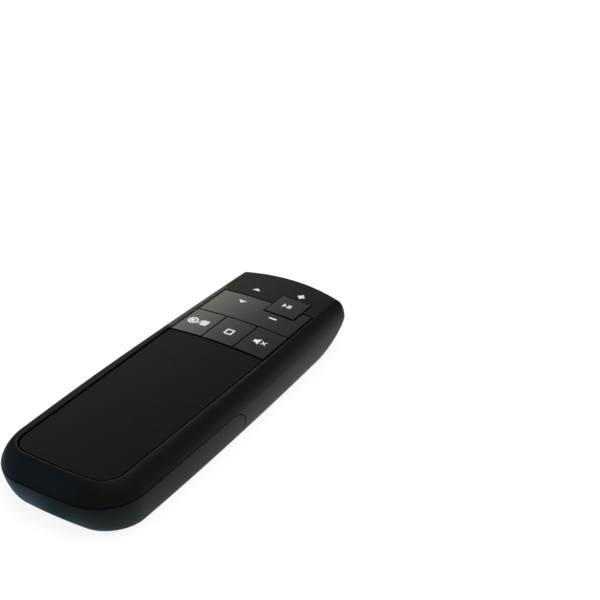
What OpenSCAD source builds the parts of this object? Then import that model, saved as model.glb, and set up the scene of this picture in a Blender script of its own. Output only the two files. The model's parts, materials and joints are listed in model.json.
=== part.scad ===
// Wireless presentation clicker, lying on its flat underside.
// +Y points out of the nose along the laser, +X to the right, +Z up.
// The origin is the middle of the footprint, on the surface that it lies on.

/* [Body] */
// Length of the body from tail to nose
body_len = 121.8; // [118:0.2:134]
// Width across the widest line at the tail corners
tail_w = 44; // [43:0.2:49]
// Width across the widest line at the nose corners
nose_w = 39; // [38.8:0.2:44]
// How far each side bows out between its corners
side_bow = 0.9; // [0.7:0.1:1.6]
// Height of the widest line above the underside
widest_z = 10; // [9:0.1:11]
// How far the tail bows out between its corners
tail_bow = 1.4; // [1:0.1:3]
// How far the nose bows out between its corners
nose_bow = 2.6; // [1:0.1:4]
// Radius of the tail corners, seen from above
tail_corner = 12; // [9:0.5:13]
// Radius of the nose corners, seen from above
nose_corner = 2.4; // [2:0.2:5]
// Fall of the crowned top from its middle to the edge of the key field
crown = 0.5; // [0.2:0.1:0.7]

/* [Shoulder and under-curve] */
// How far the sides lean in from the widest line to the top
shoulder_side = 3.4; // [2.8:0.1:3.6]
// How far the tail slopes in from the widest line to the top
shoulder_tail = 5.2; // [4:0.2:5.6]
// How far the nose leans in from the widest line to the top
shoulder_nose = 2.2; // [1:0.1:3]
// How far the sides curve in below the widest line
under_side = 2.3; // [1.6:0.1:2.4]
// How far the tail curves in below the widest line
under_tail = 4.6; // [3:0.1:5]
// How far the nose curves in below the widest line
under_nose = 15.3; // [12:0.1:16]

/* [Walls and gaps] */
// Wall of the top housing
housing_wall = 1.5; // [1.3:0.1:1.8]
// Wall of the battery door
door_wall = 1.3; // [1.1:0.1:1.4]
// Thickness of the underside plate
plate_t = 1.5; // [1.2:0.1:1.8]
// Open line between parts of the housing
seam_gap = 0.2; // [0.1:0.05:0.3]
// Height of the seam between the top housing and the battery door
seam_z = 10.4; // [9.8:0.1:10.8]
// Radius of the door's front corners, seen from the side
door_corner = 6.5; // [4:0.5:8]
// Clearance between fixed parts that fit together
fit_gap = 0.15; // [0.1:0.05:0.2]

/* [Touch panel] */
// Width of the panel and of the key field at their common edge
field_w = 33.6; // [33:0.1:34]
// Thickness of the touch panel
panel_t = 1.5; // [1:0.1:1.8]
// Depth of the panel below the crest of the rim
panel_sink = 0.3; // [0.3:0.1:0.8]
// Gap between the housing's rim and the panel and keys inside it
rim_gap = 0.3; // [0.2:0.05:0.4]
// Distance from the tip of the tail to the panel
tail_margin = 5.9; // [5.6:0.1:8]
// Radius of the panel's tail corners
panel_corner = 5.4; // [4:0.2:7]
// How far the panel's tail edge bows out
panel_bow = 1.4; // [0.6:0.1:1.8]
// Width of the ledge that carries the panel
ledge_w = 1.8; // [1.2:0.1:2.4]
// Thickness of the sensor board under the panel
sensor_t = 0.8; // [0.6:0.1:1]

/* [Keys] */
// Distance from the tip of the nose to the wide key
hood_len = 17.2; // [16.5:0.1:19]
// Depth of the wide key, tail to nose
nav_len = 13.6; // [13.4:0.1:15]
// Depth of the three small keys, tail to nose
row_len = 13.4; // [12.5:0.1:15]
// Width of the key field at its nose end
field_nose_w = 32.3; // [32:0.1:33]
// Distance of the play key's front behind the tip of the hood's edge
play_reach = 5.6; // [4.8:0.1:6]
// How far the edges of the keys bow towards the nose
key_bow = 0.4; // [0.1:0.1:0.8]
// Gap round each key
key_gap = 0.35; // [0.25:0.05:0.5]
// Depth of the key tops below the crest of the rim
key_sink = 0.1; // [0:0.05:0.3]
// Height of a key cap's edge
cap_t = 1.7; // [1.4:0.1:1.8]
// Width of the square play key
play_w = 10.6; // [9.6:0.1:11]
// Depth of the play key, tail to nose
play_len = 10.3; // [9:0.1:10.6]
// Distance of the play key's middle to the right of the middle line
play_x = 7.15; // [6.6:0.05:7.6]
// Height of the play key above the keys round it
play_proud = 0.2; // [0.1:0.1:1]
// How far a key travels when it is pressed
key_travel = 0.35; // [0.2:0.05:0.4]
// Diameter of the stems under the keys
stem_d = 3; // [2.6:0.1:3.4]
// Distance of the wide key's two stems from the middle line
nav_stem_x = 6.8; // [6.2:0.1:7.2]

/* [Circuit board] */
// Height of the underside of the main board
board_z = 8.2; // [8:0.1:8.4]
// Thickness of the main board
board_t = 1.2; // [1:0.1:1.4]
// Width of the main board
board_w = 31.2; // [30.6:0.1:31.6]
// Side of a square tactile switch
switch_w = 4.5; // [4:0.1:4.8]
// Height of a tactile switch without its button
switch_h = 1.6; // [1.4:0.1:1.7]
// Height of a tactile switch's button
button_h = 0.4; // [0.3:0.1:0.5]
// Thickness of the key carrier's plate
carrier_t = 1.2; // [1:0.1:1.3]
// Clearance between a stem and its hole in the carrier
stem_gap = 0.1; // [0.05:0.05:0.2]
// Diameter of the posts that carry the board and the carrier
post_d = 4.6; // [4.2:0.1:5]

/* [Power source] */
// Diameter of a cell
cell_d = 10.5; // [10.3:0.1:10.7]
// Length of a cell with its cap
cell_len = 44.5; // [43.5:0.1:45]
// Room left between the cells and the door
cell_clear = 0.35; // [0.3:0.05:0.6]
// Thickness of the tray above the cells
tray_roof = 0.9; // [0.7:0.1:1.2]
// Thickness of the tray's side walls
tray_wall = 0.8; // [0.7:0.05:0.85]
// Length of a cell spring under load
spring_len = 2.6; // [2:0.1:3]
// Distance from the tip of the tail to the tray
tail_to_tray = 10.8; // [10.6:0.1:11.6]

/* [Receiver] */
// Width of the receiver's grip
receiver_w = 12.4; // [12:0.1:12.6]
// Clearance round the receiver in its bay
receiver_gap = 0.25; // [0.15:0.05:0.4]
// Length of the receiver's grip
receiver_len = 16; // [14:0.5:18]
// Thickness of the receiver's grip
receiver_t = 5.6; // [5:0.1:6]
// Length of the receiver's metal plug
plug_len = 12; // [11:0.5:12.5]
// Width of the receiver's metal plug
plug_w = 11.8; // [11.4:0.1:12]
// Thickness of the receiver's metal plug
plug_t = 4.5; // [4:0.1:4.8]

/* [Laser] */
// Diameter of the laser barrel
laser_d = 6; // [5:0.1:6.2]
// Length of the laser barrel
laser_len = 9; // [8:0.2:9.4]
// Distance of the laser's axis to the right of the middle line
laser_x = 8; // [6.5:0.1:9]
// Height of the laser's axis
laser_z = 10; // [9.6:0.1:10.4]
// Diameter of the window in the nose
window_d = 4.6; // [3.6:0.1:5]
// Depth of the window below the face of the nose
window_sink = 1.7; // [1.4:0.1:2]

/* [Power slider] */
// Length of the slider's knob
knob_len = 5; // [4:0.2:6]
// Height of the slider's knob
knob_h = 2.6; // [2:0.1:2.8]
// How far the knob stands out of the side
knob_proud = 0.7; // [0.4:0.1:1]
// Travel of the slider between off and on
slider_travel = 3; // [2:0.1:3.4]
// Distance of the slider's middle from the tip of the nose, switched off
slider_from_nose = 31; // [30.5:0.1:31.5]

/* [Screws] */
// Diameter of the screws' threads
screw_d = 1.7; // [1.5:0.1:1.9]
// Diameter of the screws' heads
head_d = 3.2; // [2.8:0.1:3.4]
// Height of the screws' heads
head_t = 1; // [0.8:0.1:1.2]
// Diameter of the pillars that the screws cut into
boss_d = 4.6; // [4.2:0.1:4.8]

/* [Hidden] */

soft_black = "#2d2a27";
panel_black = "#262524";
satin_grey = "#4b4c49";
inner_black = "#1d1d1e";
board_green = "#1f5a38";
nickel = "#b9b6ae";
eps = 0.05;
$fn = 48;

// Steps along each round of the body, and the shape of those rounds
end_steps = 4;
side_steps = 4;
corner_steps = 6;
under_steps = 5;
shoulder_steps = 6;
crown_steps = 8;
under_power = 1.43;
shoulder_power = 1.18;

// Heights stacked up from the underside to the crest of the top
cell_z = door_wall + cell_clear + cell_d / 2;
tray_play = 0.15;
tray_top = cell_z + cell_d / 2 + tray_play + tray_roof;
flex_t = 0.15;
sensor_z = tray_top + flex_t;
glue_t = 0.05;
panel_z = sensor_z + sensor_t + glue_t;
body_h = panel_z + panel_t + panel_sink;

// Stations along the length
tail_y = -body_len / 2;
nose_y = body_len / 2;
field_front_y = nose_y - hood_len;
nav_back_y = field_front_y - nav_len;
row_back_y = nav_back_y - row_len;
panel_back_y = tail_y + tail_margin;
play_y = field_front_y + play_reach - play_len / 2;
row_y = row_back_y + row_len / 2;
nav_y = nav_back_y + nav_len / 2;
nav_stem_back = 0.3;
nav_stem_y = nav_y - nav_stem_back;

// The tray under the panel: two cells and the receiver side by side
cell_gap = 0.3;
divider_t = 0.7;
cell_bore = cell_d / 2 + tray_play;
cell_pitch = cell_d + cell_gap;
receiver_bay_w = receiver_w + 2 * receiver_gap;
tray_inner = (cell_pitch + 2 * cell_bore + divider_t + receiver_bay_w) / 2;
tray_half = tray_inner + tray_wall;
left_cell_x = -tray_inner + cell_bore;
right_cell_x = left_cell_x + cell_pitch;
receiver_x = tray_inner - receiver_bay_w / 2;
tray_end_t = 1.1;
contact_t = 0.4;
tray_back_y = tail_y + tail_to_tray;
bay_back_y = tray_back_y + tray_end_t;
bay_front_y = bay_back_y + cell_len + spring_len + 2 * contact_t;
tray_front_y = bay_front_y + tray_end_t;
door_lap = 1.6;
door_front_y = tray_front_y + door_lap;
tray_lift = 0.9;
tray_low_z = door_wall + tray_lift;
tray_side_gap = 0.35;
tray_corner_room = 3.9;
tray_corner_cut = 3.1;
receiver_lift = 1;
receiver_z = tray_low_z + receiver_lift + receiver_t / 2;
receiver_back_y = bay_back_y + receiver_gap;
rail_z = 6.6;
rail_t = 1;
rail_room = 1.1;
rail_back = 5;
rail_front = 1.2;
tongue_t = 0.9;
step_t = 1.6;
step_root = 1;

// The stack of keys, carrier, switches and board in the front half
board_top = board_z + board_t;
button_top = board_top + switch_h + button_h;
button_d = 2.2;
stem_low_z = button_top + key_travel + eps;
key_top_z = body_h - key_sink;
carrier_top = tray_top;
carrier_z = carrier_top - carrier_t;
fulcrum_r = 0.5;
fulcrum_in = 1.5;
fulcrum_z = carrier_top + fulcrum_r + eps;
row_pitch = field_w / 3;
part_gap = 0.35;
carrier_back_y = row_y - switch_w / 2 - part_gap;
board_front_y = play_y + switch_w / 2 + 2 * part_gap;
post_x = 13.6;
post_back = 3.6;
post_y = field_front_y - post_back;
posts = [[-row_pitch / 2, row_y], [row_pitch / 2, row_y], [-post_x, post_y], [post_x, post_y]];
pilot_gap = 0.05;
pilot_deep = 4.4;

// The flex runs down between the sensor board and the main board
ribbon_w = 8;
ribbon_x = -3;
ribbon_bend = 1.2;
ribbon_foot = 4;
sensor_front_y = row_back_y - key_gap / 2 - ledge_w;
ribbon_y = sensor_front_y - ribbon_bend / 2;
board_back_y = ribbon_y + ribbon_bend / 2;
board_tail_half = 12;

// Chips on the underside of the board, between the row and the wide key
chip_size = [7, 7, 1];
chip_at = [-2.5, nav_back_y + 1];
crystal_size = [5, 3, 1.2];
crystal_at = [6.5, nav_back_y + 1];

// Laser and slider
window_t = 1;
window_gap = 0.2;
driver_t = 0.8;
driver_w = 6.4;
lens_t = 1.4;
collar_t = 1.5;
nose_face_y = nose_y - nose_bow * pow(laser_x / (nose_w / 2), 2);
window_front_y = nose_face_y - window_sink;
barrel_front_y = window_front_y - window_t - window_gap;
barrel_back_y = barrel_front_y - laser_len;
slider_y = nose_y - slider_from_nose;
slider_lift = 1.4;
slider_z = board_top + slider_lift;
slider_gap = 0.2;
slider_lean = 0.8;
flange_t = 0.6;
fork_w = 1.2;
power_switch_w = 3.8;
power_switch_h = 2.4;
power_switch_end = 2.4;
side_slope = (tail_w - nose_w) / 2
    / (body_len - tail_bow - nose_bow - tail_corner - nose_corner);

// The rails on the tray's sides end just inside the door's walls
rail_x = side_at(tray_front_y) - door_wall - rail_room;

// Screws that hold the two housings together
plate_inset = 1.2;
pad_d = 5.2;
pad_t = 1.1;
pad_top = plate_t + pad_t;
side_screw_to_door = 3.9;
side_screw_y = door_front_y + side_screw_to_door;
side_screw_x = side_at(side_screw_y) - under_side - housing_wall - pad_d / 2 - 2 * seam_gap;
side_screw_deep = 8.6;
tail_screw_to_tray = 4.4;
tail_screw_y = tray_back_y - tail_screw_to_tray;
ear_w = 6.4;
ear_t = 1.2;
ear_drop = 1.8;
ear_z = seam_z - ear_drop;
pillar_top = body_h - housing_wall;
hook_w = 6;
hook_x = 8;
hook_t = 0.8;
hook_lap = 3;
hook_root_y = nose_y - nose_bow - under_nose - plate_inset - 2;

// How far out the bow of a side is at the station y, between the ends y0 and y1
function side_swell(y, y0, y1) = 1 - pow((2 * y - y0 - y1) / (y1 - y0), 2);

// Half width of the body at its widest line, at the station y
function side_at(y) = (tail_w / 2 - side_slope * (y - tail_y - tail_bow - tail_corner))
    * (1 + 2 * side_bow / tail_w * side_swell(y, tail_y + tail_bow, nose_y - nose_bow));

// How far the sides of the hollow, a skin depth t inside, lie in from the widest line
function under_in(z, t) =
    let (s = pow(1 - (z - t) / (widest_z - t), 1 / under_power))
    t + under_side * (1 - pow(1 - s * s, under_power / 2));
function shoulder_in(z, t) =
    let (s = pow((z + crown - widest_z) / (body_h - t - widest_z), 1 / shoulder_power))
    t + shoulder_side * (1 - pow(1 - s * s, shoulder_power / 2));

// Closed outline with round corners, bowed ends and bowed sides: half widths w,
// stations y, corner radii r and end bows b, each at the tail (0) and at the nose (1)
function outline(w0, w1, y0, y1, r0, r1, b0, b1, swell = 0) =
    let (half = concat(
            [for (i = [0:end_steps - 1]) [(w0 - r0) * i / end_steps, y0]],
            [for (i = [0:corner_steps]) let (a = -90 + 90 * i / corner_steps)
                [w0 - r0 + r0 * cos(a), y0 + r0 + r0 * sin(a)]],
            swell == 0 ? [] : [for (i = [1:side_steps - 1]) let (u = i / side_steps)
                [w0 + (w1 - w0) * u, y0 + r0 + (y1 - r1 - y0 - r0) * u]],
            [for (i = [0:corner_steps]) let (a = 90 * i / corner_steps)
                [w1 - r1 + r1 * cos(a), y1 - r1 + r1 * sin(a)]],
            [for (i = [end_steps - 1:-1:0]) [(w1 - r1) * i / end_steps, y1]]),
         bowed = [for (p = half)
            [p.x * (1 + swell / w0 * side_swell(p.y, y0, y1)),
             p.y < (y0 + y1) / 2 ? p.y - b0 * (1 - pow(p.x / w0, 2))
                                 : p.y + b1 * (1 - pow(p.x / w1, 2))]])
    concat(bowed, [for (i = [len(bowed) - 2:-1:1]) [-bowed[i].x, bowed[i].y]]);

// Outline of the body, drawn in by the given amounts at its sides, tail and nose
function body_outline(side, tail, nose) =
    outline(tail_w / 2 - side, nose_w / 2 - side,
            tail_y + tail_bow + tail, nose_y - nose_bow - nose,
            max(tail_corner - side, 1), max(nose_corner - side, 0.6),
            tail_bow, nose_bow, side_bow);

// One ring of the body's skin, a skin depth t inside the outer surface
function skin_ring(side, tail, nose, z, lift, t) =
    [for (p = body_outline(side + t, tail + t, nose + t))
        [p.x, p.y, z - crown * lift * pow(2 * p.x / field_w, 2)]];

function under_ring(a, t) =
    let (f = 1 - pow(cos(a), under_power))
    skin_ring(under_side * f, under_tail * f, under_nose * f,
              t + (widest_z - t) * (1 - pow(sin(a), under_power)), 0, t);

function shoulder_ring(a, t) =
    let (f = 1 - pow(cos(a), shoulder_power), lift = pow(sin(a), shoulder_power))
    skin_ring(shoulder_side * f, shoulder_tail * f, shoulder_nose * f,
              widest_z + (body_h - t - widest_z) * lift, lift, t);

function cap_ring(s, t) =
    [for (p = shoulder_ring(90, t))
        [s * p.x, s * p.y, body_h - t - crown * pow(2 * s * p.x / field_w, 2)]];

// The closed body, or the hollow a skin depth t inside it
module body_solid(t) {
    rings = concat(
        [for (k = [0:under_steps]) under_ring(90 - 90 * k / under_steps, t)],
        [for (k = [1:shoulder_steps]) shoulder_ring(90 * k / shoulder_steps, t)],
        [cap_ring(0.66, t), cap_ring(0.33, t)]);
    n = len(rings[0]);
    m = len(rings);
    points = concat([for (ring = rings) for (p = ring) p], [[0, 0, body_h - t]]);
    walls = [for (k = [0:m - 2]) for (i = [0:n - 1])
        let (a = k * n + i, b = k * n + (i + 1) % n)
        for (face = [[a, a + n, b], [b, a + n, b + n]]) face];
    top = [for (i = [0:n - 1]) [(m - 1) * n + i, m * n, (m - 1) * n + (i + 1) % n]];
    base = [[for (i = [0:n - 1]) i]];
    polyhedron(points = points, faces = concat(walls, top, base), convexity = 6);
}

// Extrudes a shape drawn in the side view (y, z) across the whole width
module across(width) {
    translate([-width / 2, 0, 0])
        rotate([90, 0, 90])
            linear_extrude(width) children();
}

// Extrudes a shape drawn in the front view (x, z) from station y0 to y1
module along(y0, y1) {
    translate([0, y1, 0])
        rotate([90, 0, 0])
            linear_extrude(y1 - y0) children();
}

module box(low, high) {
    translate(low) cube(high - low);
}

module post(x, y, z0, z1, d) {
    translate([x, y, z0]) cylinder(d = d, h = z1 - z0);
}

// Everything below the seam and behind the door's front edge, less the gap g
module door_zone(g) {
    r = door_corner - g;
    past = 10;
    below = 1;
    across(2 * tail_w) {
        translate([tail_y - past, -below])
            square([door_front_y - g - r - tail_y + past, seam_z - g + below]);
        translate([door_front_y - g - r - below, -below])
            square([r + below, seam_z - g - r + below]);
        translate([door_front_y - g - r, seam_z - g - r]) circle(r = r, $fn = 96);
    }
}

// A solid under the crowned surface whose crest is at height z
module below_crown(z) {
    along(tail_y, nose_y)
        polygon(concat(
            [[-tail_w / 2, -1]],
            [[tail_w / 2, -1]],
            [for (i = [crown_steps:-1:-crown_steps]) let (x = i / crown_steps * tail_w / 2)
                [x, z - crown * pow(2 * x / field_w, 2)]]));
}

// Outline of the touch panel, grown by g
module panel_shape(g) {
    polygon(outline(field_w / 2 + g, field_w / 2 + g, panel_back_y + panel_bow - g,
                    row_back_y - key_gap / 2 + g, panel_corner + g, 0.4,
                    panel_bow, key_bow));
}

// Outline of the whole key field, grown by g
module field_shape(g) {
    back = row_back_y - key_gap / 2;
    polygon(concat(
        [for (i = [-end_steps:end_steps]) let (u = i / end_steps)
            [u * (field_w / 2 + g), back - g + key_bow * (1 - u * u)]],
        [for (i = [end_steps:-1:-end_steps]) let (u = i / end_steps)
            [u * (field_nose_w / 2 + g), field_front_y + g + key_bow * (1 - u * u)]]));
    translate([play_x, play_y]) square([play_w + 2 * g, play_len + 2 * g], center = true);
}

// A band of the key field from station y0 to y1, both bowed
module key_band(y0, y1) {
    polygon(concat(
        [for (i = [-end_steps:end_steps]) let (u = i / end_steps)
            [u * tail_w, y0 + key_bow * (1 - pow(2 * u * tail_w / field_w, 2))]],
        [for (i = [end_steps:-1:-end_steps]) let (u = i / end_steps)
            [u * tail_w, y1 + key_bow * (1 - pow(2 * u * tail_w / field_w, 2))]]));
}

// A key cap over the given outline, with its top on the crown
module key_cap(proud) {
    intersection() {
        translate([0, 0, key_top_z - cap_t]) linear_extrude(cap_t + proud + 1) children();
        below_crown(key_top_z + proud);
    }
}

module stem(x, y) {
    post(x, y, stem_low_z, key_top_z - cap_t + eps, stem_d);
}

module small_key(column) {
    x0 = (column - 0.5) * row_pitch;
    key_cap(0)
        intersection() {
            field_shape(-key_gap / 2);
            key_band(row_back_y, nav_back_y - key_gap / 2);
            translate([x0 + key_gap / 2, row_back_y - 5])
                square([row_pitch - key_gap, row_len + 10]);
        }
    stem(column * row_pitch, row_y);
}

module left_key() {
    color(satin_grey) small_key(-1);
}

module centre_key() {
    color(satin_grey) small_key(0);
}

module right_key() {
    color(satin_grey) small_key(1);
}

// The wide key rocks from side to side on the ridge under its middle
module nav_plate() {
    color(satin_grey) {
        key_cap(0)
            difference() {
                intersection() {
                    field_shape(-key_gap / 2);
                    key_band(nav_back_y + key_gap / 2, field_front_y - key_gap / 2);
                }
                translate([play_x, play_y])
                    square([play_w + key_gap, play_len + key_gap], center = true);
            }
        for (side = [-1, 1]) stem(side * nav_stem_x, nav_stem_y);
        along(nav_back_y + fulcrum_in, field_front_y - fulcrum_in) {
            translate([0, fulcrum_z]) circle(r = fulcrum_r, $fn = 32);
            translate([-fulcrum_r, fulcrum_z])
                square([2 * fulcrum_r, key_top_z - cap_t - fulcrum_z + eps]);
        }
    }
}

module play_key() {
    color(satin_grey) {
        key_cap(play_proud)
            translate([play_x, play_y])
                square([play_w - key_gap, play_len - key_gap], center = true);
        stem(play_x, play_y);
    }
}

module touch_panel() {
    color(panel_black)
        intersection() {
            translate([0, 0, panel_z]) linear_extrude(panel_t + 1) panel_shape(-fit_gap);
            below_crown(body_h - panel_sink);
        }
}

module sensor_shape(g) {
    polygon(outline(field_w / 2 - ledge_w + g, field_w / 2 - ledge_w + g,
                    panel_back_y + panel_bow + ledge_w - g,
                    row_back_y - key_gap / 2 - ledge_w + g,
                    panel_corner - ledge_w + g, 0.6, panel_bow, 0));
}

module touch_sensor() {
    color(board_green)
        translate([0, 0, sensor_z]) linear_extrude(sensor_t) sensor_shape(-2 * fit_gap);
}

// Flat flex from under the sensor board down to the main board
module sensor_ribbon() {
    low_y = ribbon_y + ribbon_bend - flex_t;
    color("#b5762f")
        translate([ribbon_x, 0, 0])
            across(ribbon_w) {
                translate([ribbon_y - ribbon_bend - ribbon_foot, sensor_z - flex_t])
                    square([ribbon_foot, flex_t]);
                quarter_bend(ribbon_y - ribbon_bend, sensor_z - ribbon_bend,
                             ribbon_bend, flex_t, [0, 0]);
                translate([ribbon_y - flex_t, board_top + ribbon_bend])
                    square([flex_t, sensor_z - board_top - 2 * ribbon_bend]);
                quarter_bend(low_y, board_top + ribbon_bend, ribbon_bend, flex_t, [-1, -1]);
                translate([low_y, board_top]) square([ribbon_foot, flex_t]);
            }
}

// A quarter of a ring about (y, z), in the quadrant that corner names
module quarter_bend(y, z, r, t, corner) {
    translate([y, z])
        intersection() {
            difference() {
                circle(r = r, $fn = 48);
                circle(r = r - t, $fn = 48);
            }
            translate(corner * 2 * r) square(2 * r);
        }
}

module top_housing() {
    color(soft_black)
        difference() {
            union() {
                difference() {
                    body_solid(0);
                    body_solid(housing_wall);
                    door_zone(-seam_gap / 2);
                }
                intersection() {
                    union() {
                        panel_ledge();
                        side_pillars();
                        laser_collar();
                        post(0, tail_screw_y, ear_z + ear_t, pillar_top, boss_d);
                    }
                    body_solid(housing_wall / 2);
                }
            }
            translate([0, 0, panel_z]) linear_extrude(body_h) panel_shape(rim_gap - fit_gap);
            translate([0, 0, tray_top]) linear_extrude(body_h) {
                sensor_shape(0);
                field_shape(rim_gap - key_gap / 2);
            }
            under_opening();
            laser_bores();
            slider_slot();
            for (side = [-1, 1])
                post(side * side_screw_x, side_screw_y, 0, side_screw_deep,
                     screw_d + 2 * pilot_gap);
            post(0, tail_screw_y, ear_z, pillar_top - head_t, screw_d + 2 * pilot_gap);
        }
}

// Square pillars under the rim that take the two side screws
module side_pillars() {
    for (side = [-1, 1])
        box([side * side_screw_x - boss_d / 2, side_screw_y - boss_d / 2, pad_top],
            [side * side_screw_x + boss_d / 2, side_screw_y + boss_d / 2, panel_z - eps]);
}

// The ledge that the panel lies on, all round the sensor board
module panel_ledge() {
    translate([0, 0, sensor_z]) linear_extrude(panel_z - sensor_z + panel_t / 2)
        panel_shape(housing_wall - part_gap);
}

// The underside plate's outline, grown by g
module plate_shape(g) {
    intersection() {
        polygon(body_outline(under_side + plate_inset - g, under_tail + plate_inset - g,
                             under_nose + plate_inset - g));
        translate([-tail_w, door_front_y + seam_gap - g])
            square([2 * tail_w, body_len]);
    }
}

module under_opening() {
    translate([0, 0, -1]) linear_extrude(plate_t + 1 + fit_gap) {
        plate_shape(fit_gap);
        half = side_at(door_front_y) - under_side - plate_inset;
        translate([-half, door_front_y - hook_lap]) square([2 * half, 2 * hook_lap]);
    }
}

module laser_collar() {
    translate([laser_x, 0, laser_z])
        along(barrel_back_y + laser_len * 0.4, nose_y) circle(d = laser_d + 2 * collar_t);
}

module laser_bores() {
    translate([laser_x, 0, laser_z]) {
        along(tail_y / 2, barrel_front_y + fit_gap) circle(d = laser_d + 2 * pilot_gap);
        along(0, nose_y + 1) circle(d = window_d);
    }
}

module slider_slot() {
    length = knob_len + slider_travel + 2 * slider_gap;
    box([-tail_w, slider_y - knob_len / 2 - slider_gap, slider_z - knob_h / 2 - slider_gap],
        [0, slider_y - knob_len / 2 - slider_gap + length,
         slider_z + knob_h / 2 + slider_gap]);
}

module battery_door() {
    color(soft_black)
        difference() {
            union() {
                difference() {
                    intersection() {
                        body_solid(0);
                        door_zone(seam_gap / 2);
                    }
                    body_solid(door_wall);
                }
                intersection() {
                    for (side = [-1, 1]) door_tongue(side);
                    body_solid(door_wall / 2);
                }
            }
            grip_grooves();
        }
}

// A bar on the door's inner wall that rides on top of the tray's rail
module door_tongue(side) {
    x0 = side > 0 ? tray_half + slider_gap : -tail_w;
    z0 = rail_z + rail_t + fit_gap;
    box([x0, tray_back_y + rail_back + 1, z0],
        [x0 + tail_w - tray_half - slider_gap, door_front_y - 2 * rail_front, z0 + tongue_t]);
}

// Three shallow thumb grooves across the door's underside
module grip_grooves() {
    groove_r = 1.4;
    groove_deep = 0.5;
    for (i = [0:2])
        translate([0, tray_back_y + (i + 1) * 3 * groove_r, groove_deep - groove_r])
            rotate([0, 90, 0]) cylinder(r = groove_r, h = 10 * groove_r, center = true);
}

module bottom_housing() {
    color(inner_black)
        difference() {
            union() {
                linear_extrude(plate_t) plate_shape(0);
                tray();
                tray_step();
                for (p = posts) post(p.x, p.y, plate_t / 2, board_z, post_d);
                for (side = [-1, 1]) {
                    post(side * side_screw_x, side_screw_y, plate_t / 2, pad_top, pad_d);
                    nose_hook(side * hook_x);
                }
                box([-ear_w / 2, tail_screw_y - ear_w / 2, ear_z],
                    [ear_w / 2, tray_back_y + eps, ear_z + ear_t]);
            }
            for (side = [-1, 1]) {
                post(side * side_screw_x, side_screw_y, -1, board_z, screw_d + 4 * pilot_gap);
                post(side * side_screw_x, side_screw_y, -1, head_t + fit_gap, head_d + 2 * fit_gap);
            }
            for (p = posts)
                post(p.x, p.y, board_z - pilot_deep, board_top, screw_d + 2 * pilot_gap);
            post(0, tail_screw_y, 0, tray_top, screw_d + 4 * pilot_gap);
        }
}

// Tongue that reaches over the lip of the top housing at the nose
module nose_hook(x) {
    low_z = plate_t + hook_t;
    box([x - hook_w / 2, hook_root_y, plate_t / 2],
        [x + hook_w / 2, hook_root_y + 2 * hook_t, low_z + hook_t]);
    box([x - hook_w / 2, hook_root_y, low_z],
        [x + hook_w / 2, hook_root_y + 2 * hook_t + hook_lap, low_z + hook_t]);
}

// The section of the two cell bays, open downwards
module cell_bays() {
    for (x = [left_cell_x, right_cell_x]) translate([x, cell_z]) circle(r = cell_bore, $fn = 96);
    translate([left_cell_x - cell_bore, 0])
        square([cell_pitch + 2 * cell_bore, cell_z]);
}

// The tray's section, kept inside the round of the shell on both sides
module tray_section() {
    half = min(side_at(tray_front_y), side_at(tray_back_y)) - tray_side_gap;
    heights = [for (i = [0:8]) tray_low_z + (tray_top - tray_low_z) * i / 8];
    edge = [for (z = heights)
        [min(tray_half, half - (z < widest_z ? under_in(z, door_wall)
                                             : shoulder_in(z, housing_wall))), z]];
    polygon(concat(edge, [for (i = [8:-1:0]) [-edge[i].x, edge[i].y]]));
}

module tray() {
    difference() {
        union() {
            along(tray_back_y, tray_front_y) tray_section();
            for (side = [0, 1])
                mirror([side, 0, 0])
                    box([tray_half - rail_t, tray_back_y + rail_back, rail_z],
                        [rail_x, tray_front_y - rail_front, rail_z + rail_t]);
        }
        along(bay_back_y, bay_front_y) cell_bays();
        receiver_bay();
        for (side = [0, 1]) mirror([side, 0, 0]) tray_corner_cut();
    }
}

// The tray's tail corners are cut off to clear the round corners of the door
module tray_corner_cut() {
    x = side_at(tray_back_y) - tray_corner_room;
    y = tray_back_y + tray_corner_cut;
    linear_extrude(body_h)
        polygon([[x - 2 * tray_corner_cut, y - 2 * tray_corner_cut],
                 [x + tail_w, y - 2 * tray_corner_cut],
                 [x + tail_w, y + tail_w]]);
}

module receiver_bay() {
    half = receiver_w / 2 + receiver_gap;
    plug_half = plug_w / 2 + receiver_gap;
    box([receiver_x - half, bay_back_y, 0],
        [receiver_x + half, bay_back_y + receiver_len + 2 * receiver_gap,
         receiver_z + receiver_t / 2 + receiver_gap]);
    box([receiver_x - plug_half, bay_back_y + receiver_len, 0],
        [receiver_x + plug_half, bay_back_y + receiver_len + plug_len + 2 * receiver_gap,
         receiver_z + plug_t / 2 + receiver_gap]);
}

// Step that the door's front edge closes against, joined to the underside plate
module tray_step() {
    half = side_at(door_front_y) - under_side - housing_wall - 2 * seam_gap;
    lap_z = door_wall + 2 * fit_gap;
    front_y = door_front_y + seam_gap;
    box([-half, tray_front_y - tray_end_t, lap_z], [half, front_y + eps, lap_z + step_t]);
    box([-half, front_y, plate_t / 2], [half, front_y + step_root, lap_z + step_t]);
}

module key_carrier() {
    color(inner_black)
        difference() {
            union() {
                box([-board_w / 2, carrier_back_y, carrier_z],
                    [board_w / 2, board_front_y, carrier_top]);
                for (p = posts) post(p.x, p.y, board_top, carrier_top, post_d);
            }
            for (column = [-1:1])
                post(column * row_pitch, row_y, 0, body_h, stem_d + 2 * stem_gap);
            for (side = [-1, 1])
                post(side * nav_stem_x, nav_stem_y, 0, body_h, stem_d + 4 * stem_gap);
            post(play_x, play_y, 0, body_h, stem_d + 2 * stem_gap);
            for (p = posts) {
                post(p.x, p.y, 0, body_h, screw_d + 2 * pilot_gap);
                post(p.x, p.y, carrier_top - head_t - fit_gap, body_h, head_d + fit_gap);
            }
        }
}

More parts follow.
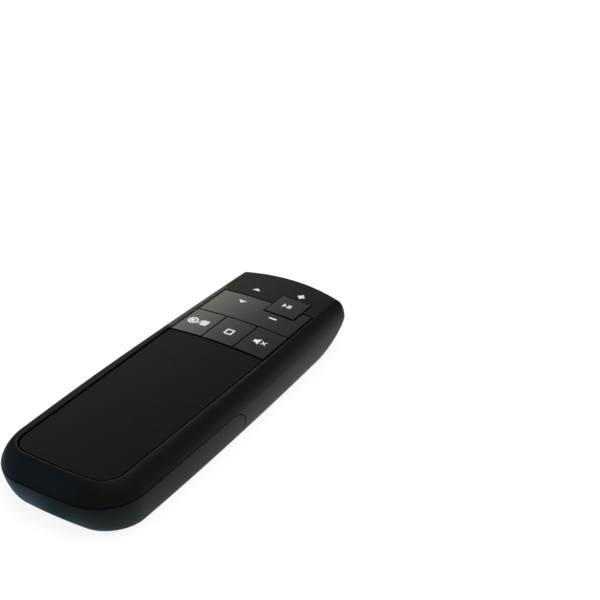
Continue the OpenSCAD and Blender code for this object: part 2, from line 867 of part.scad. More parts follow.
// The board is narrower behind the carrier, beside the housing's pillars
module main_board() {
    color(board_green)
        difference() {
            translate([0, 0, board_z]) linear_extrude(board_t) {
                polygon(outline(board_w / 2, board_w / 2, carrier_back_y, board_front_y,
                                housing_wall, 2 * housing_wall, 0, 0));
                translate([-board_tail_half, board_back_y])
                    square([2 * board_tail_half, carrier_back_y - board_back_y + eps]);
            }
            for (p = posts) post(p.x, p.y, 0, body_h, screw_d + 4 * pilot_gap);
        }
}

module tact_switch(x, y) {
    box([x - switch_w / 2, y - switch_w / 2, board_top],
        [x + switch_w / 2, y + switch_w / 2, board_top + switch_h]);
    post(x, y, board_top, button_top, button_d);
}

module tact_switches() {
    color(nickel) {
        for (column = [-1:1]) tact_switch(column * row_pitch, row_y);
        for (side = [-1, 1]) tact_switch(side * nav_stem_x, nav_stem_y);
        tact_switch(play_x, play_y);
    }
}

// A chip of the given size, centred at the given place under the board
module chip(size, at) {
    translate([at.x - size.x / 2, at.y - size.y / 2, board_z - size.z]) cube(size);
}

module radio_chip() {
    color(inner_black) {
        chip(chip_size, chip_at);
        chip(crystal_size, crystal_at);
    }
}

module laser_barrel() {
    color("#b08a45")
        translate([laser_x, 0, laser_z])
            difference() {
                along(barrel_back_y, barrel_front_y) circle(d = laser_d);
                along(barrel_front_y - 1.5 * lens_t, nose_y) circle(d = laser_d * 2 / 3);
            }
}

module laser_lens() {
    color("#8fb4c4")
        translate([laser_x, 0, laser_z])
            along(barrel_front_y - 1.5 * lens_t, barrel_front_y - lens_t / 2)
                circle(d = laser_d * 2 / 3 - 2 * pilot_gap);
}

module laser_driver() {
    color(board_green)
        box([laser_x - driver_w / 2, barrel_back_y - driver_t, laser_z - driver_w / 2],
            [laser_x + driver_w / 2, barrel_back_y, laser_z + driver_w / 2]);
}

module laser_window() {
    color("#8e2a2a")
        translate([laser_x, 0, laser_z])
            along(window_front_y - window_t, window_front_y)
                circle(d = window_d - 2 * pilot_gap);
}

// Off at the tail end of its slot, on at the nose end
module power_slider() {
    outer = side_at(slider_y);
    flange_x = side_at(slider_y + slider_travel + knob_len) - housing_wall - slider_lean;
    low_z = slider_z - knob_h / 2;
    high_z = slider_z + knob_h / 2;
    color("#50504c") {
        box([-outer - knob_proud, slider_y - knob_len / 2, low_z],
            [-flange_x + flange_t, slider_y + knob_len / 2, high_z]);
        box([-flange_x, slider_y - knob_len / 2 - slider_travel, low_z],
            [-flange_x + flange_t, slider_y + knob_len / 2 + flange_t, high_z]);
        box([-flange_x, slider_y - fork_w / 2, slider_z - fork_w / 2],
            [-board_w / 2 + fork_w, slider_y + fork_w / 2, slider_z + fork_w / 2]);
    }
}

module power_switch() {
    body_y = slider_y + slider_travel / 2;
    half = slider_travel / 2 + power_switch_end;
    reach = fork_w / 2 + slider_gap;
    color(nickel)
        difference() {
            box([-board_w / 2 + slider_gap, body_y - half, board_top],
                [-board_w / 2 + slider_gap + power_switch_w, body_y + half,
                 board_top + power_switch_h]);
            box([-tail_w, slider_y - reach, slider_z - reach],
                [-board_w / 2 + fork_w + slider_gap, slider_y + slider_travel + reach,
                 slider_z + reach]);
        }
}

// A cell whose cap points to the nose (facing 1) or to the tail (facing -1)
module cell(x, facing) {
    cap_len = 0.8;
    cap_d = 3.8;
    spring_end = facing > 0 ? bay_back_y + contact_t + spring_len : bay_back_y + contact_t;
    middle_y = spring_end + cell_len / 2;
    translate([x, middle_y, cell_z])
        rotate([-90 * facing, 0, 0]) {
            translate([0, 0, -cell_len / 2]) cylinder(d = cell_d, h = cell_len - cap_len);
            cylinder(d = cap_d, h = cell_len / 2);
        }
}

module battery_left() {
    color("#3f6a8c") cell(left_cell_x, 1);
}

module battery_right() {
    color("#3f6a8c") cell(right_cell_x, -1);
}

// Conical coil spring that stands on its plate, wound along +Z
module coil_spring(base_r, tip_r, height, wire) {
    turns = 3;
    steps = 12;
    sides = 6;
    count = turns * steps;
    points = [for (i = [0:count]) let (u = i / count, a = 360 * i / steps,
            r = base_r + (tip_r - base_r) * u)
        for (j = [0:sides - 1]) let (b = 360 * j / sides)
            [(r + wire / 2 * cos(b)) * cos(a), (r + wire / 2 * cos(b)) * sin(a),
             wire / 2 + (height - wire) * u + wire / 2 * sin(b)]];
    walls = [for (i = [0:count - 1]) for (j = [0:sides - 1])
        let (a = i * sides + j, b = i * sides + (j + 1) % sides)
        for (face = [[a, b, a + sides], [b, b + sides, a + sides]]) face];
    ends = [[for (j = [sides - 1:-1:0]) j], [for (j = [0:sides - 1]) count * sides + j]];
    polyhedron(points = points, faces = concat(walls, ends), convexity = 8);
}

module battery_springs() {
    wire = 0.5;
    base_r = 3.2;
    tip_r = 1.8;
    color(nickel) {
        translate([left_cell_x, bay_back_y + contact_t, cell_z])
            rotate([-90, 0, 0]) coil_spring(base_r, tip_r, spring_len, wire);
        translate([right_cell_x, bay_front_y - contact_t, cell_z])
            rotate([90, 0, 0]) coil_spring(base_r, tip_r, spring_len, wire);
    }
}

// Four sprung plates that close the ends of the two cell bays
module battery_contacts() {
    half = 3.7;
    color(nickel)
        for (x = [left_cell_x, right_cell_x]) for (y = [bay_back_y, bay_front_y - contact_t])
            box([x - half, y, cell_z - half], [x + half, y + contact_t, cell_z + half]);
}

module usb_receiver() {
    color(inner_black)
        box([receiver_x - receiver_w / 2, receiver_back_y, receiver_z - receiver_t / 2],
            [receiver_x + receiver_w / 2, receiver_back_y + receiver_len,
             receiver_z + receiver_t / 2]);
}

module receiver_plug() {
    wall = 0.3;
    root = 1;
    front = receiver_back_y + receiver_len + plug_len;
    color(nickel)
        difference() {
            box([receiver_x - plug_w / 2, receiver_back_y + receiver_len, receiver_z - plug_t / 2],
                [receiver_x + plug_w / 2, front, receiver_z + plug_t / 2]);
            box([receiver_x - plug_w / 2 + wall, front - plug_len + root, receiver_z],
                [receiver_x + plug_w / 2 - wall, front + root, receiver_z + plug_t / 2 - wall]);
        }
}

// A pan-head screw whose head's underside is at the origin and whose tip points up
module screw(length) {
    difference() {
        translate([0, 0, -head_t]) cylinder(d = head_d, h = head_t);
        for (turn = [0, 90])
            rotate([0, 0, turn]) translate([0, 0, -head_t])
                cube([head_d * 0.7, head_d / 7, head_t], center = true);
    }
    cylinder(d = screw_d, h = length);
}

module housing_screws() {
    color(nickel) {
        for (side = [-1, 1])
            translate([side * side_screw_x, side_screw_y, head_t + fit_gap])
                screw(side_screw_deep - 2 * head_t);
        translate([0, tail_screw_y, ear_z]) screw(pillar_top - ear_z - 1.5 * head_t);
    }
}

module board_screws() {
    color(nickel)
        for (p = posts)
            translate([p.x, p.y, carrier_top - head_t - fit_gap])
                mirror([0, 0, 1])
                    screw(carrier_top - head_t - fit_gap - board_z + pilot_deep - 2 * fit_gap);
}

top_housing();
bottom_housing();
battery_door();
touch_panel();
touch_sensor();
sensor_ribbon();
nav_plate();
play_key();
left_key();
centre_key();
right_key();
key_carrier();
main_board();
tact_switches();
radio_chip();
laser_barrel();
laser_lens();
laser_driver();
laser_window();
power_slider();
power_switch();
battery_left();
battery_right();
battery_springs();
battery_contacts();
usb_receiver();
receiver_plug();
housing_screws();
board_screws();
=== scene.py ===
"""Wireless presentation clicker: the dressed model, built over its CAD frame.

The shells, the touch panel, the key caps, the slider, the cells with their springs and the
receiver are modelled here with their fine edges, and stand for the plainer CAD nodes. The
printed symbols are added to them. All other CAD nodes keep their shapes and get the finish of
the real piece. Sizes are in millimetres unless a name says otherwise, in the frame of the CAD:
+Y out of the nose, +X to the right, +Z up.
"""

import json
import logging
import math
from contextlib import contextmanager
from dataclasses import dataclass
from enum import Enum
from typing import Any, Iterator, Sequence

import bpy
from mathutils import Matrix, Quaternion, Vector

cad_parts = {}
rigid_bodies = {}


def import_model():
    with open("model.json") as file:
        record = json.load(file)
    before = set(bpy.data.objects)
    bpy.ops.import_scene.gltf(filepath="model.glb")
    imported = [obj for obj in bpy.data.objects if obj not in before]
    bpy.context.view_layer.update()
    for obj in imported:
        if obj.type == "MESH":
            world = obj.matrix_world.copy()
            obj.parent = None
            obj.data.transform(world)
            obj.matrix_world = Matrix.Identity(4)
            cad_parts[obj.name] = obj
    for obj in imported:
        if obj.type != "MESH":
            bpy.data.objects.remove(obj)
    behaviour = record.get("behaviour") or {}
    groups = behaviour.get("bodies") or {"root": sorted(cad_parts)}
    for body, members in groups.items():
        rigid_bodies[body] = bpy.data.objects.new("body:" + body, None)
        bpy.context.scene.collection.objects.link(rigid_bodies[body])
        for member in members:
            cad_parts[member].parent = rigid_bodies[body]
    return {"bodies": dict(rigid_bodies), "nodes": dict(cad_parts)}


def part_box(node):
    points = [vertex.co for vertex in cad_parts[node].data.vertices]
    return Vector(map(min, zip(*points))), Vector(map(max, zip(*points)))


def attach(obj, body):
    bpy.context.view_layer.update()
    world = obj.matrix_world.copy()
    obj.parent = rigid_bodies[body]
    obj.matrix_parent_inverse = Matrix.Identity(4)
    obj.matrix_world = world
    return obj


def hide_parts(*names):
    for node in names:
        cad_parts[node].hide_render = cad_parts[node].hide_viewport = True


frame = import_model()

MM = 0.001

# How far a cutting tool reaches past the face that it opens
PAST = 1.0
# Steps of a rounded edge
EDGE_STEPS = 3

Point = tuple[float, float]
Place = tuple[float, float, float]
Piece = bpy.types.Object
Tree = bpy.types.NodeTree

log = logging.getLogger("clicker")


class Body(str, Enum):
    """The bodies of the frame that the pieces ride on."""

    HOUSING = "housing"
    WIDE_KEY = "wide_key"
    PLAY = "play_button"
    LEFT = "left_button"
    CENTRE = "centre_button"
    RIGHT = "right_button"
    SLIDER = "slider"
    DOOR = "door"


class Cut(str, Enum):
    """What a boolean modifier does with its tool."""

    REMOVE = "DIFFERENCE"
    KEEP = "INTERSECT"
    JOIN = "UNION"


# ---- Bench: the hand operations that the pieces are made with ----


class Bench:
    """Modelling operations on one mesh object at a time."""

    @staticmethod
    def clear() -> None:
        """Deselects every object."""
        for obj in bpy.context.selected_objects:
            obj.select_set(False)

    @staticmethod
    def hold(obj: Piece) -> None:
        """Makes one object the active and only selected one.

        Args:
            obj: The object.
        """
        Bench.clear()
        obj.select_set(True)
        bpy.context.view_layer.objects.active = obj

    @staticmethod
    @contextmanager
    def edit(obj: Piece, kind: str = "FACE") -> Iterator[None]:
        """Opens the object in edit mode, all selected, for the length of a with block.

        Args:
            obj: The mesh object.
            kind: Select mode inside: VERT, EDGE or FACE.
        """
        Bench.hold(obj)
        bpy.ops.object.mode_set(mode="EDIT")
        bpy.ops.mesh.select_mode(type=kind)
        bpy.ops.mesh.select_all(action="SELECT")
        try:
            yield
        finally:
            bpy.ops.object.mode_set(mode="OBJECT")

    @staticmethod
    def apply(obj: Piece, kind: str, **settings: Any) -> None:
        """Adds one modifier with its settings and applies it.

        Args:
            obj: The mesh object.
            kind: Modifier type.
            **settings: Values of the modifier's own fields.
        """
        Bench.hold(obj)
        modifier = obj.modifiers.new(kind.lower(), kind)
        for name, value in settings.items():
            setattr(modifier, name, value)
        bpy.ops.object.modifier_apply(modifier=modifier.name)

    @staticmethod
    def carve(obj: Piece, tool: Piece, cut: Cut = Cut.REMOVE) -> Piece:
        """Applies one boolean with another object and removes that object.

        Args:
            obj: The piece that is worked on.
            tool: The tool's solid.
            cut: Whether the tool removes, keeps or joins.

        Returns:
            The worked piece.
        """
        Bench.apply(obj, "BOOLEAN", operation=cut.value, object=tool, solver="MANIFOLD")
        bpy.data.objects.remove(tool)
        return obj

    @staticmethod
    def join(pieces: Sequence[Piece]) -> Piece:
        """Puts the meshes of some objects into the first one.

        Args:
            pieces: The objects, with the one that stays first.

        Returns:
            The first object.
        """
        Bench.hold(pieces[0])
        for other in pieces[1:]:
            other.select_set(True)
        if len(pieces) > 1:
            bpy.ops.object.join()
        return pieces[0]

    @staticmethod
    def orient(obj: Piece, merge: float = 0.001) -> None:
        """Merges doubles and turns every face outwards.

        Args:
            obj: The mesh object.
            merge: Distance in millimetres up to which points are merged.
        """
        with Bench.edit(obj, "VERT"):
            bpy.ops.mesh.remove_doubles(threshold=merge * MM)
            bpy.ops.mesh.normals_make_consistent(inside=False)

    @staticmethod
    def smooth(obj: Piece, angle: float) -> None:
        """Shades the faces smooth across edges up to an angle in degrees."""
        Bench.hold(obj)
        bpy.ops.object.shade_smooth_by_angle(angle=math.radians(angle))

    @staticmethod
    def flatten(obj: Piece, angle: float = 40.0) -> None:
        """Shades the edges round and keeps the large faces between them flat."""
        Bench.smooth(obj, angle)
        Bench.apply(obj, "WEIGHTED_NORMAL", keep_sharp=True, weight=100)

    @staticmethod
    def added(name: str) -> Piece:
        """Names the primitive that was just added and writes its place into its mesh.

        Args:
            name: Name of the new object.

        Returns:
            The object, at the origin.
        """
        obj = bpy.context.object
        obj.name = name
        Bench.hold(obj)
        bpy.ops.object.transform_apply(location=True, rotation=True, scale=True)
        return obj

    @staticmethod
    def loft(name: str, rings: Sequence[Sequence[Place]]) -> Piece:
        """Rolls a sheet of quads into a closed skin through rings of equal length.

        Args:
            name: Name of the new object.
            rings: Rings of points in millimetres; the first and the last one close to a point.

        Returns:
            The closed solid.
        """
        Bench.clear()
        bpy.ops.mesh.primitive_grid_add(x_subdivisions=len(rings[0]), y_subdivisions=len(rings) - 1)
        obj = Bench.added(name)
        rolled = [point for ring in rings for point in (*ring, ring[0])]
        for vertex, point in zip(obj.data.vertices, rolled, strict=True):
            vertex.co = Vector(point) * MM
        Bench.orient(obj)
        return obj

    @staticmethod
    def prism(name: str, outline: Sequence[Point], low: float, high: float) -> Piece:
        """Draws a flat outline and extrudes it upwards.

        Args:
            name: Name of the new object.
            outline: Corners (x, y) in millimetres.
            low: Height of the underside.
            high: Height of the top.

        Returns:
            The closed solid.
        """
        Bench.clear()
        bpy.ops.mesh.primitive_circle_add(vertices=len(outline), fill_type="NGON")
        obj = Bench.added(name)
        for vertex, (x, y) in zip(obj.data.vertices, outline, strict=True):
            vertex.co = Vector((x, y, low)) * MM
        with Bench.edit(obj):
            bpy.ops.mesh.extrude_region_move(
                TRANSFORM_OT_translate={"value": (0, 0, (high - low) * MM)}
            )
        Bench.orient(obj)
        return obj

    @staticmethod
    def block(name: str, low: Place, high: Place, edge: float = 0.0) -> Piece:
        """Makes a block between two corners, with its edges rounded if edge is given.

        Args:
            name: Name of the new object.
            low: Lowest corner in millimetres.
            high: Highest corner in millimetres.
            edge: Radius of the rounded edges.

        Returns:
            The closed solid.
        """
        Bench.clear()
        middle = (Vector(low) + Vector(high)) / 2
        bpy.ops.mesh.primitive_cube_add(size=MM, location=middle * MM)
        bpy.context.object.scale = Vector(high) - Vector(low)
        obj = Bench.added(name)
        if edge:
            Bench.apply(obj, "BEVEL", width=edge * MM, segments=EDGE_STEPS, limit_method="ANGLE")
        return obj

    @staticmethod
    def rod(name: str, start: Place, end: Place, radius: float, sides: int = 48) -> Piece:
        """Makes a round rod between two points.

        Args:
            name: Name of the new object.
            start: Middle of the first end in millimetres.
            end: Middle of the other end.
            radius: Its radius.
            sides: Number of faces round it.

        Returns:
            The closed solid.
        """
        Bench.clear()
        along = Vector(end) - Vector(start)
        bpy.ops.mesh.primitive_cylinder_add(
            vertices=sides,
            radius=radius * MM,
            depth=along.length * MM,
            location=(Vector(start) + Vector(end)) / 2 * MM,
            rotation=along.to_track_quat("Z", "Y").to_euler(),
        )
        return Bench.added(name)

    @staticmethod
    def place(
        obj: Piece,
        body: Body,
        material: bpy.types.Material,
        slot: str = "",
        replaces: Sequence[str] = (),
    ) -> None:
        """Gives a finished piece its material, its body and what it stands for.

        Args:
            obj: The finished piece.
            body: The body that it rides on.
            material: Its material.
            slot: The record's material slot; not used.
            replaces: The CAD nodes that it stands for.
        """
        obj.data.name = obj.name
        obj.data.materials.clear()
        obj.data.materials.append(material)
        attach(obj, body.value)
        if replaces:
            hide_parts(*replaces)
        log.info("%-22s %6d faces, rides on %s", obj.name, len(obj.data.polygons), body.value)


# ---- Finishes ----


def linear(hex_colour: str) -> tuple[float, float, float, float]:
    """Turns an sRGB hex colour into the linear colour that a socket takes.

    Args:
        hex_colour: The colour, such as "#8c8c8c".

    Returns:
        Red, green, blue and alpha.
    """
    parts = [int(hex_colour[i : i + 2], 16) / 255 for i in (1, 3, 5)]
    red, green, blue = (
        value / 12.92 if value <= 0.04045 else ((value + 0.055) / 1.055) ** 2.4 for value in parts
    )
    return red, green, blue, 1.0


def add(tree: Tree, kind: str, inputs: dict | None = None, **settings: Any) -> Any:
    """Adds one node with its settings, its values and its links.

    Args:
        tree: The node tree.
        kind: The node's type.
        inputs: A value or another node's output for each input, by name or number.
        **settings: Values of the node's own fields.

    Returns:
        The new node.
    """
    node = tree.nodes.new(kind)
    for name, value in settings.items():
        setattr(node, name, value)
    for key, value in (inputs or {}).items():
        if isinstance(value, bpy.types.NodeSocket):
            tree.links.new(value, node.inputs[key])
        else:
            node.inputs[key].default_value = value
    return node


@dataclass(frozen=True)
class Finish:
    """What all finishes share: a name and a principled surface in two tones."""

    name: str

    def material(self) -> bpy.types.Material:
        """Makes the node material of this finish, once.

        Returns:
            The material.
        """
        made = bpy.data.materials.get(self.name)
        if made is None:
            made = bpy.data.materials.new(self.name)
            made.use_nodes = True
            made.node_tree.nodes.clear()
            surface = self.surface(made.node_tree)
            add(made.node_tree, "ShaderNodeOutputMaterial", {"Surface": surface.outputs[0]})
        return made

    def surface(self, tree: Tree) -> Any:
        """Makes the shader node of this finish."""
        raise NotImplementedError

    @staticmethod
    def two_tone(tree: Tree, share: Any, tones: tuple[str, str], inputs: dict[str, Any]) -> Any:
        """Adds a principled surface whose colour goes from one tone to another.

        Args:
            tree: The node tree.
            share: Output that says how far the second tone takes over.
            tones: The two colours.
            inputs: The surface's other inputs.

        Returns:
            The shader node.
        """
        colour = add(
            tree,
            "ShaderNodeMix",
            {0: share, 6: linear(tones[0]), 7: linear(tones[1])},
            data_type="RGBA",
        )
        return add(tree, "ShaderNodeBsdfPrincipled", {"Base Color": colour.outputs[2], **inputs})


def near_box(tree: Tree, place: Any, low: Place, high: Place, fade: float) -> Any:
    """Adds a mask that is 1 inside a box and fades out around it.

    Args:
        tree: The node tree.
        place: Output with the place that the mask is asked for.
        low: Corner of the box with the least coordinates.
        high: The opposite corner.
        fade: Distance from the box at which the mask reaches 0.

    Returns:
        The mask's output.
    """
    middle = tuple((a + b) / 2 for a, b in zip(low, high, strict=True))
    half = tuple((b - a) / 2 for a, b in zip(low, high, strict=True))
    away = place
    for operation, other in (
        ("SUBTRACT", middle),
        ("ABSOLUTE", None),
        ("SUBTRACT", half),
        ("MAXIMUM", (0, 0, 0)),
        ("LENGTH", None),
    ):
        inputs = {0: away} if other is None else {0: away, 1: other}
        node = add(tree, "ShaderNodeVectorMath", inputs, operation=operation)
        away = node.outputs["Value" if operation == "LENGTH" else "Vector"]
    return add(
        tree,
        "ShaderNodeMapRange",
        {0: away, 1: 0.0, 2: fade, 3: 1.0, 4: 0.0},
        interpolation_type="SMOOTHSTEP",
    ).outputs[0]


@dataclass(frozen=True)
class MouldedPlastic(Finish):
    """Moulded or painted plastic: an even colour over a fine grain.

    The grain scatters the light, so the surface reads as matte, and broad soft mottling
    keeps large faces from looking like a flat fill.
    """

    colour: str
    mottle_colour: str
    roughness: float
    gloss: float
    grain: float = 0.3
    grain_depth: float = 0.01
    mottle: float = 9.0
    roughness_play: float = 0.06
    bump: float = 0.6

    def surface(self, tree: Tree) -> Any:
        """Makes the shader: mottled colour, grain bump and uneven roughness.

        Args:
            tree: The node tree.

        Returns:
            The shader node.
        """
        where = add(tree, "ShaderNodeTexCoord").outputs["Object"]
        broad, grain = (
            add(
                tree,
                "ShaderNodeTexNoise",
                {"Vector": where, "Scale": 1 / (size * MM), "Detail": detail, "Roughness": fine},
            ).outputs[0]
            for size, detail, fine in ((self.mottle, 3.0, 0.6), (self.grain, 2.0, 0.5))
        )
        bump = add(
            tree,
            "ShaderNodeBump",
            {"Height": grain, "Strength": self.bump, "Distance": self.grain_depth * MM},
        )
        low, high = self.roughness - self.roughness_play, self.roughness + self.roughness_play
        rough = add(tree, "ShaderNodeMapRange", {0: grain, 3: low, 4: high})
        return self.two_tone(
            tree,
            broad,
            (self.colour, self.mottle_colour),
            {
                "Roughness": rough.outputs[0],
                "Specular IOR Level": self.gloss_at(tree, where),
                "Normal": bump.outputs[0],
            },
        )

    def gloss_at(self, tree: Tree, where: Any) -> Any:
        """The strength of the sheen, here the same all over."""
        return self.gloss


@dataclass(frozen=True)
class RubbedPlastic(MouldedPlastic):
    """Moulded plastic with one stretch, a box in millimetres, that hands have rubbed glossier."""

    rubbed_gloss: float = 0.4
    low: Place = (0.0, 0.0, 0.0)
    high: Place = (0.0, 0.0, 0.0)
    fade: float = 0.8

    def gloss_at(self, tree: Tree, where: Any) -> Any:
        """Makes the sheen stronger inside the rubbed stretch.

        Args:
            tree: The node tree.
            where: Output with the place on the piece.

        Returns:
            The output with the strength of the sheen.
        """
        low, high = (tuple(Vector(corner) * MM) for corner in (self.low, self.high))
        share = near_box(tree, where, low, high, self.fade * MM)
        return add(
            tree, "ShaderNodeMapRange", {0: share, 3: self.gloss, 4: self.rubbed_gloss}
        ).outputs[0]


@dataclass(frozen=True)
class PlatedMetal(Finish):
    """Plated or turned metal with fine drawing lines along one axis.

    The lines stretch the highlight across them, which tells steel from grey plastic.
    """

    colour: str
    worn_colour: str
    roughness: float
    line: float
    line_axis: int = 1
    line_stretch: float = 0.03
    line_depth: float = 0.01
    tarnish: float = 2.5
    roughness_play: float = 0.08
    bump: float = 0.35

    def surface(self, tree: Tree) -> Any:
        """Makes the shader: stretched noise for the lines, broad noise for the tarnish.

        Args:
            tree: The node tree.

        Returns:
            The shader node.
        """
        where = add(tree, "ShaderNodeTexCoord").outputs["Object"]
        stretch = [1.0, 1.0, 1.0]
        stretch[self.line_axis] = self.line_stretch
        mapped = add(tree, "ShaderNodeMapping", {"Vector": where, "Scale": stretch}).outputs[0]
        lines, broad = (
            add(
                tree,
                "ShaderNodeTexNoise",
                {"Vector": place, "Scale": 1 / (size * MM), "Detail": detail},
            ).outputs[0]
            for place, size, detail in ((mapped, self.line, 2.0), (where, self.tarnish, 4.0))
        )
        low, high = self.roughness - self.roughness_play, self.roughness + self.roughness_play
        rough = add(tree, "ShaderNodeMapRange", {0: lines, 3: low, 4: high})
        bump = add(
            tree,
            "ShaderNodeBump",
            {"Height": lines, "Strength": self.bump, "Distance": self.line_depth * MM},
        )
        return self.two_tone(
            tree,
            broad,
            (self.colour, self.worn_colour),
            {"Metallic": 1.0, "Roughness": rough.outputs[0], "Normal": bump.outputs[0]},
        )


@dataclass(frozen=True)
class ClearPlastic(Finish):
    """Moulded acrylic, clear or tinted, that the light passes through."""

    tint: str
    deep_tint: str
    roughness: float
    cloud: float = 1.111
    ior: float = 1.49
    clear: float = 0.75

    def surface(self, tree: Tree) -> Any:
        """Makes the shader: a transmitting body whose tint deepens in soft clouds.

        Args:
            tree: The node tree.

        Returns:
            The shader node.
        """
        where = add(tree, "ShaderNodeTexCoord").outputs["Object"]
        clouds = add(
            tree,
            "ShaderNodeTexNoise",
            {"Vector": where, "Scale": 1 / (self.cloud * MM), "Detail": 2.0},
        )
        return self.two_tone(
            tree,
            clouds.outputs[0],
            (self.tint, self.deep_tint),
            {"Roughness": self.roughness, "IOR": self.ior, "Transmission Weight": self.clear},
        )


@dataclass(frozen=True)
class CircuitLaminate(Finish):
    """Glass-epoxy board under green solder mask, with lighter copper runs beneath it."""

    mask: str
    run: str
    run_pitch: float
    scatter: float = 0.8
    runs_per_cell: float = 9.0
    run_edge: Point = (0.45, 0.6)
    run_height: float = 0.05
    bump: float = 0.4
    roughness: float = 0.32

    def surface(self, tree: Tree) -> Any:
        """Makes the shader: square copper runs that show through and lift the mask.

        Args:
            tree: The node tree.

        Returns:
            The shader node.
        """
        where = add(tree, "ShaderNodeTexCoord").outputs["Object"]
        cells = add(
            tree,
            "ShaderNodeTexVoronoi",
            {"Vector": where, "Scale": 1 / (self.run_pitch * MM), "Randomness": self.scatter},
            feature="F1",
            distance="CHEBYCHEV",
        )
        rings = cells.outputs["Distance"]
        for operation, value in (("MULTIPLY", self.runs_per_cell), ("PINGPONG", 1.0)):
            rings = add(
                tree, "ShaderNodeMath", {0: rings, 1: value}, operation=operation
            ).outputs[0]
        start, end = self.run_edge
        edge = add(tree, "ShaderNodeMapRange", {0: rings, 1: start, 2: end}).outputs[0]
        bump = add(
            tree,
            "ShaderNodeBump",
            {"Height": edge, "Strength": self.bump, "Distance": self.run_height * MM},
        )
        return self.two_tone(
            tree,
            edge,
            (self.mask, self.run),
            {"Roughness": self.roughness, "Normal": bump.outputs[0]},
        )


@dataclass(frozen=True)
class CellSleeve(Finish):
    """Printed plastic sleeve shrunk over a steel can: a plain colour with a bright end band."""

    colour: str
    band: str
    band_start: float
    band_end: float
    wear: float = 3.846
    least_roughness: float = 0.22
    most_roughness: float = 0.36
    metallic: float = 0.55

    def surface(self, tree: Tree) -> Any:
        """Makes the shader: two colours parted by a clean line across the cell.

        Args:
            tree: The node tree.

        Returns:
            The shader node.
        """
        where = add(tree, "ShaderNodeTexCoord").outputs["Object"]
        along = add(tree, "ShaderNodeSeparateXYZ", {0: where}).outputs[1]
        banded = add(
            tree,
            "ShaderNodeMapRange",
            {0: along, 1: self.band_start * MM, 2: self.band_end * MM},
        )
        worn = add(
            tree,
            "ShaderNodeTexNoise",
            {"Vector": where, "Scale": 1 / (self.wear * MM), "Detail": 4.0},
        )
        rough = add(
            tree,
            "ShaderNodeMapRange",
            {0: worn.outputs[0], 3: self.least_roughness, 4: self.most_roughness},
        )
        return self.two_tone(
            tree,
            banded.outputs[0],
            (self.colour, self.band),
            {"Metallic": self.metallic, "Roughness": rough.outputs[0]},
        )


# Soft-touch painted ABS: a very dark warm grey that swallows reflections and keeps only
# a wide faint sheen. Its real grain of 0.05 mm is drawn at 0.3 mm, where it just shows.
# The rim left of the keys, where the hand closes round the body, is rubbed glossier.
SOFT_SHELL = RubbedPlastic(
    "soft_touch_painted_abs",
    "#12110f",
    "#161513",
    roughness=0.42,
    gloss=0.052,
    rubbed_gloss=0.34,
    low=(-24.0, 18.4, 15.3),
    high=(-16.9, 45.0, 18.0),
    fade=1.7,
)
# The door is the same paint on another moulding, one shade lighter and less warm.
DOOR_SHELL = MouldedPlastic(
    "soft_touch_painted_door_abs", "#141312", "#181716", roughness=0.46, gloss=0.056
)
# The same paint on the lip round the touch panel, glossier, and a tone lighter as a painted
# highlight along the lip's edge.
LIP_HIGHLIGHT_SHELL = MouldedPlastic(
    "soft_touch_lip_painted_highlight", "#181614", "#1c1a17", roughness=0.4, gloss=0.1, grain_depth=0.004
)
# Spark-eroded ABS of the underside, the key carrier and the receiver's grip: slightly
# cooler, with a rougher leathery grain.
INNER_SHELL = MouldedPlastic(
    "spark_eroded_black_abs",
    "#151516",
    "#1c1c1d",
    roughness=0.55,
    gloss=0.4,
    grain=0.42,
    grain_depth=0.03,
)
# Touch surface: a hard matte film with an even sand-like grain that keeps a finger gliding.
TOUCH_FILM = MouldedPlastic(
    "textured_matte_touch_film",
    "#0d0d0d",
    "#131312",
    roughness=0.48,
    gloss=0.04,
    grain=0.34,
    grain_depth=0.03,
    mottle=5.0,
)
# Key caps: satin painted ABS, half a tone lighter than the shell, whose sheen follows the light.
SATIN_KEY = MouldedPlastic(
    "satin_painted_key_abs",
    "#171817",
    "#1b1c1b",
    roughness=0.25,
    gloss=0.5,
    grain=0.5,
    grain_depth=0.004,
    roughness_play=0.015,
)
# Sides of the key caps: dull black, darker than the tops as painted shade, so that the gaps read as
# dark lines.
KEY_SIDE_SHADE = MouldedPlastic(
    "key_sides_painted_gap_shade", "#0a0a0b", "#0e0e0f", roughness=0.6, gloss=0.06, grain=0.42
)
# Slider: the same satin paint, some tones lighter, so that the knob is found at a glance.
SATIN_SLIDER = MouldedPlastic(
    "satin_moulded_slider_abs", "#3a3a37", "#424240", roughness=0.4, gloss=0.5
)
# Symbols, and the insulator in the receiver's plug: white pad-printed ink, thick enough to
# stay opaque and a little chalky.
WHITE_INK = MouldedPlastic(
    "white_pad_printed_ink",
    "#f4f4f2",
    "#e8e8e6",
    roughness=0.5,
    gloss=0.4,
    grain=0.25,
    grain_depth=0.004,
)
# Chip bodies: moulded epoxy, dull and slightly brown.
CHIP_EPOXY = MouldedPlastic(
    "moulded_chip_epoxy", "#1b1a18", "#242220", roughness=0.6, gloss=0.35, grain=0.2
)
# Flexible circuit: amber polyimide film with a silky face.
POLYIMIDE = MouldedPlastic(
    "amber_polyimide_film", "#a8641c", "#b9772a", roughness=0.34, gloss=0.5, grain=0.8
)
# Nickel-plated spring steel: bright, warm grey, drawn along the strip.
NICKEL = PlatedMetal("nickel_plated_steel", "#c3beb4", "#a9a39a", roughness=0.28, line=0.12)
# The board's screws: black nickel, dark as painted shade, so that nothing bright shows through the
# key gaps.
SCREW_GAP_SHADE = PlatedMetal(
    "black_nickel_steel_painted_gap_shade", "#2b2a28", "#201f1e", roughness=0.5, line=0.12
)
# Turned brass of the laser barrel, with the lathe's fine rings across its length.
BRASS = PlatedMetal(
    "turned_brass", "#c79a52", "#a87c3a", roughness=0.26, line=0.15, line_axis=0
)
# Clear acrylic of the collimating lens.
LENS = ClearPlastic("moulded_clear_acrylic", "#dfeef4", "#cfe4ee", roughness=0.03)
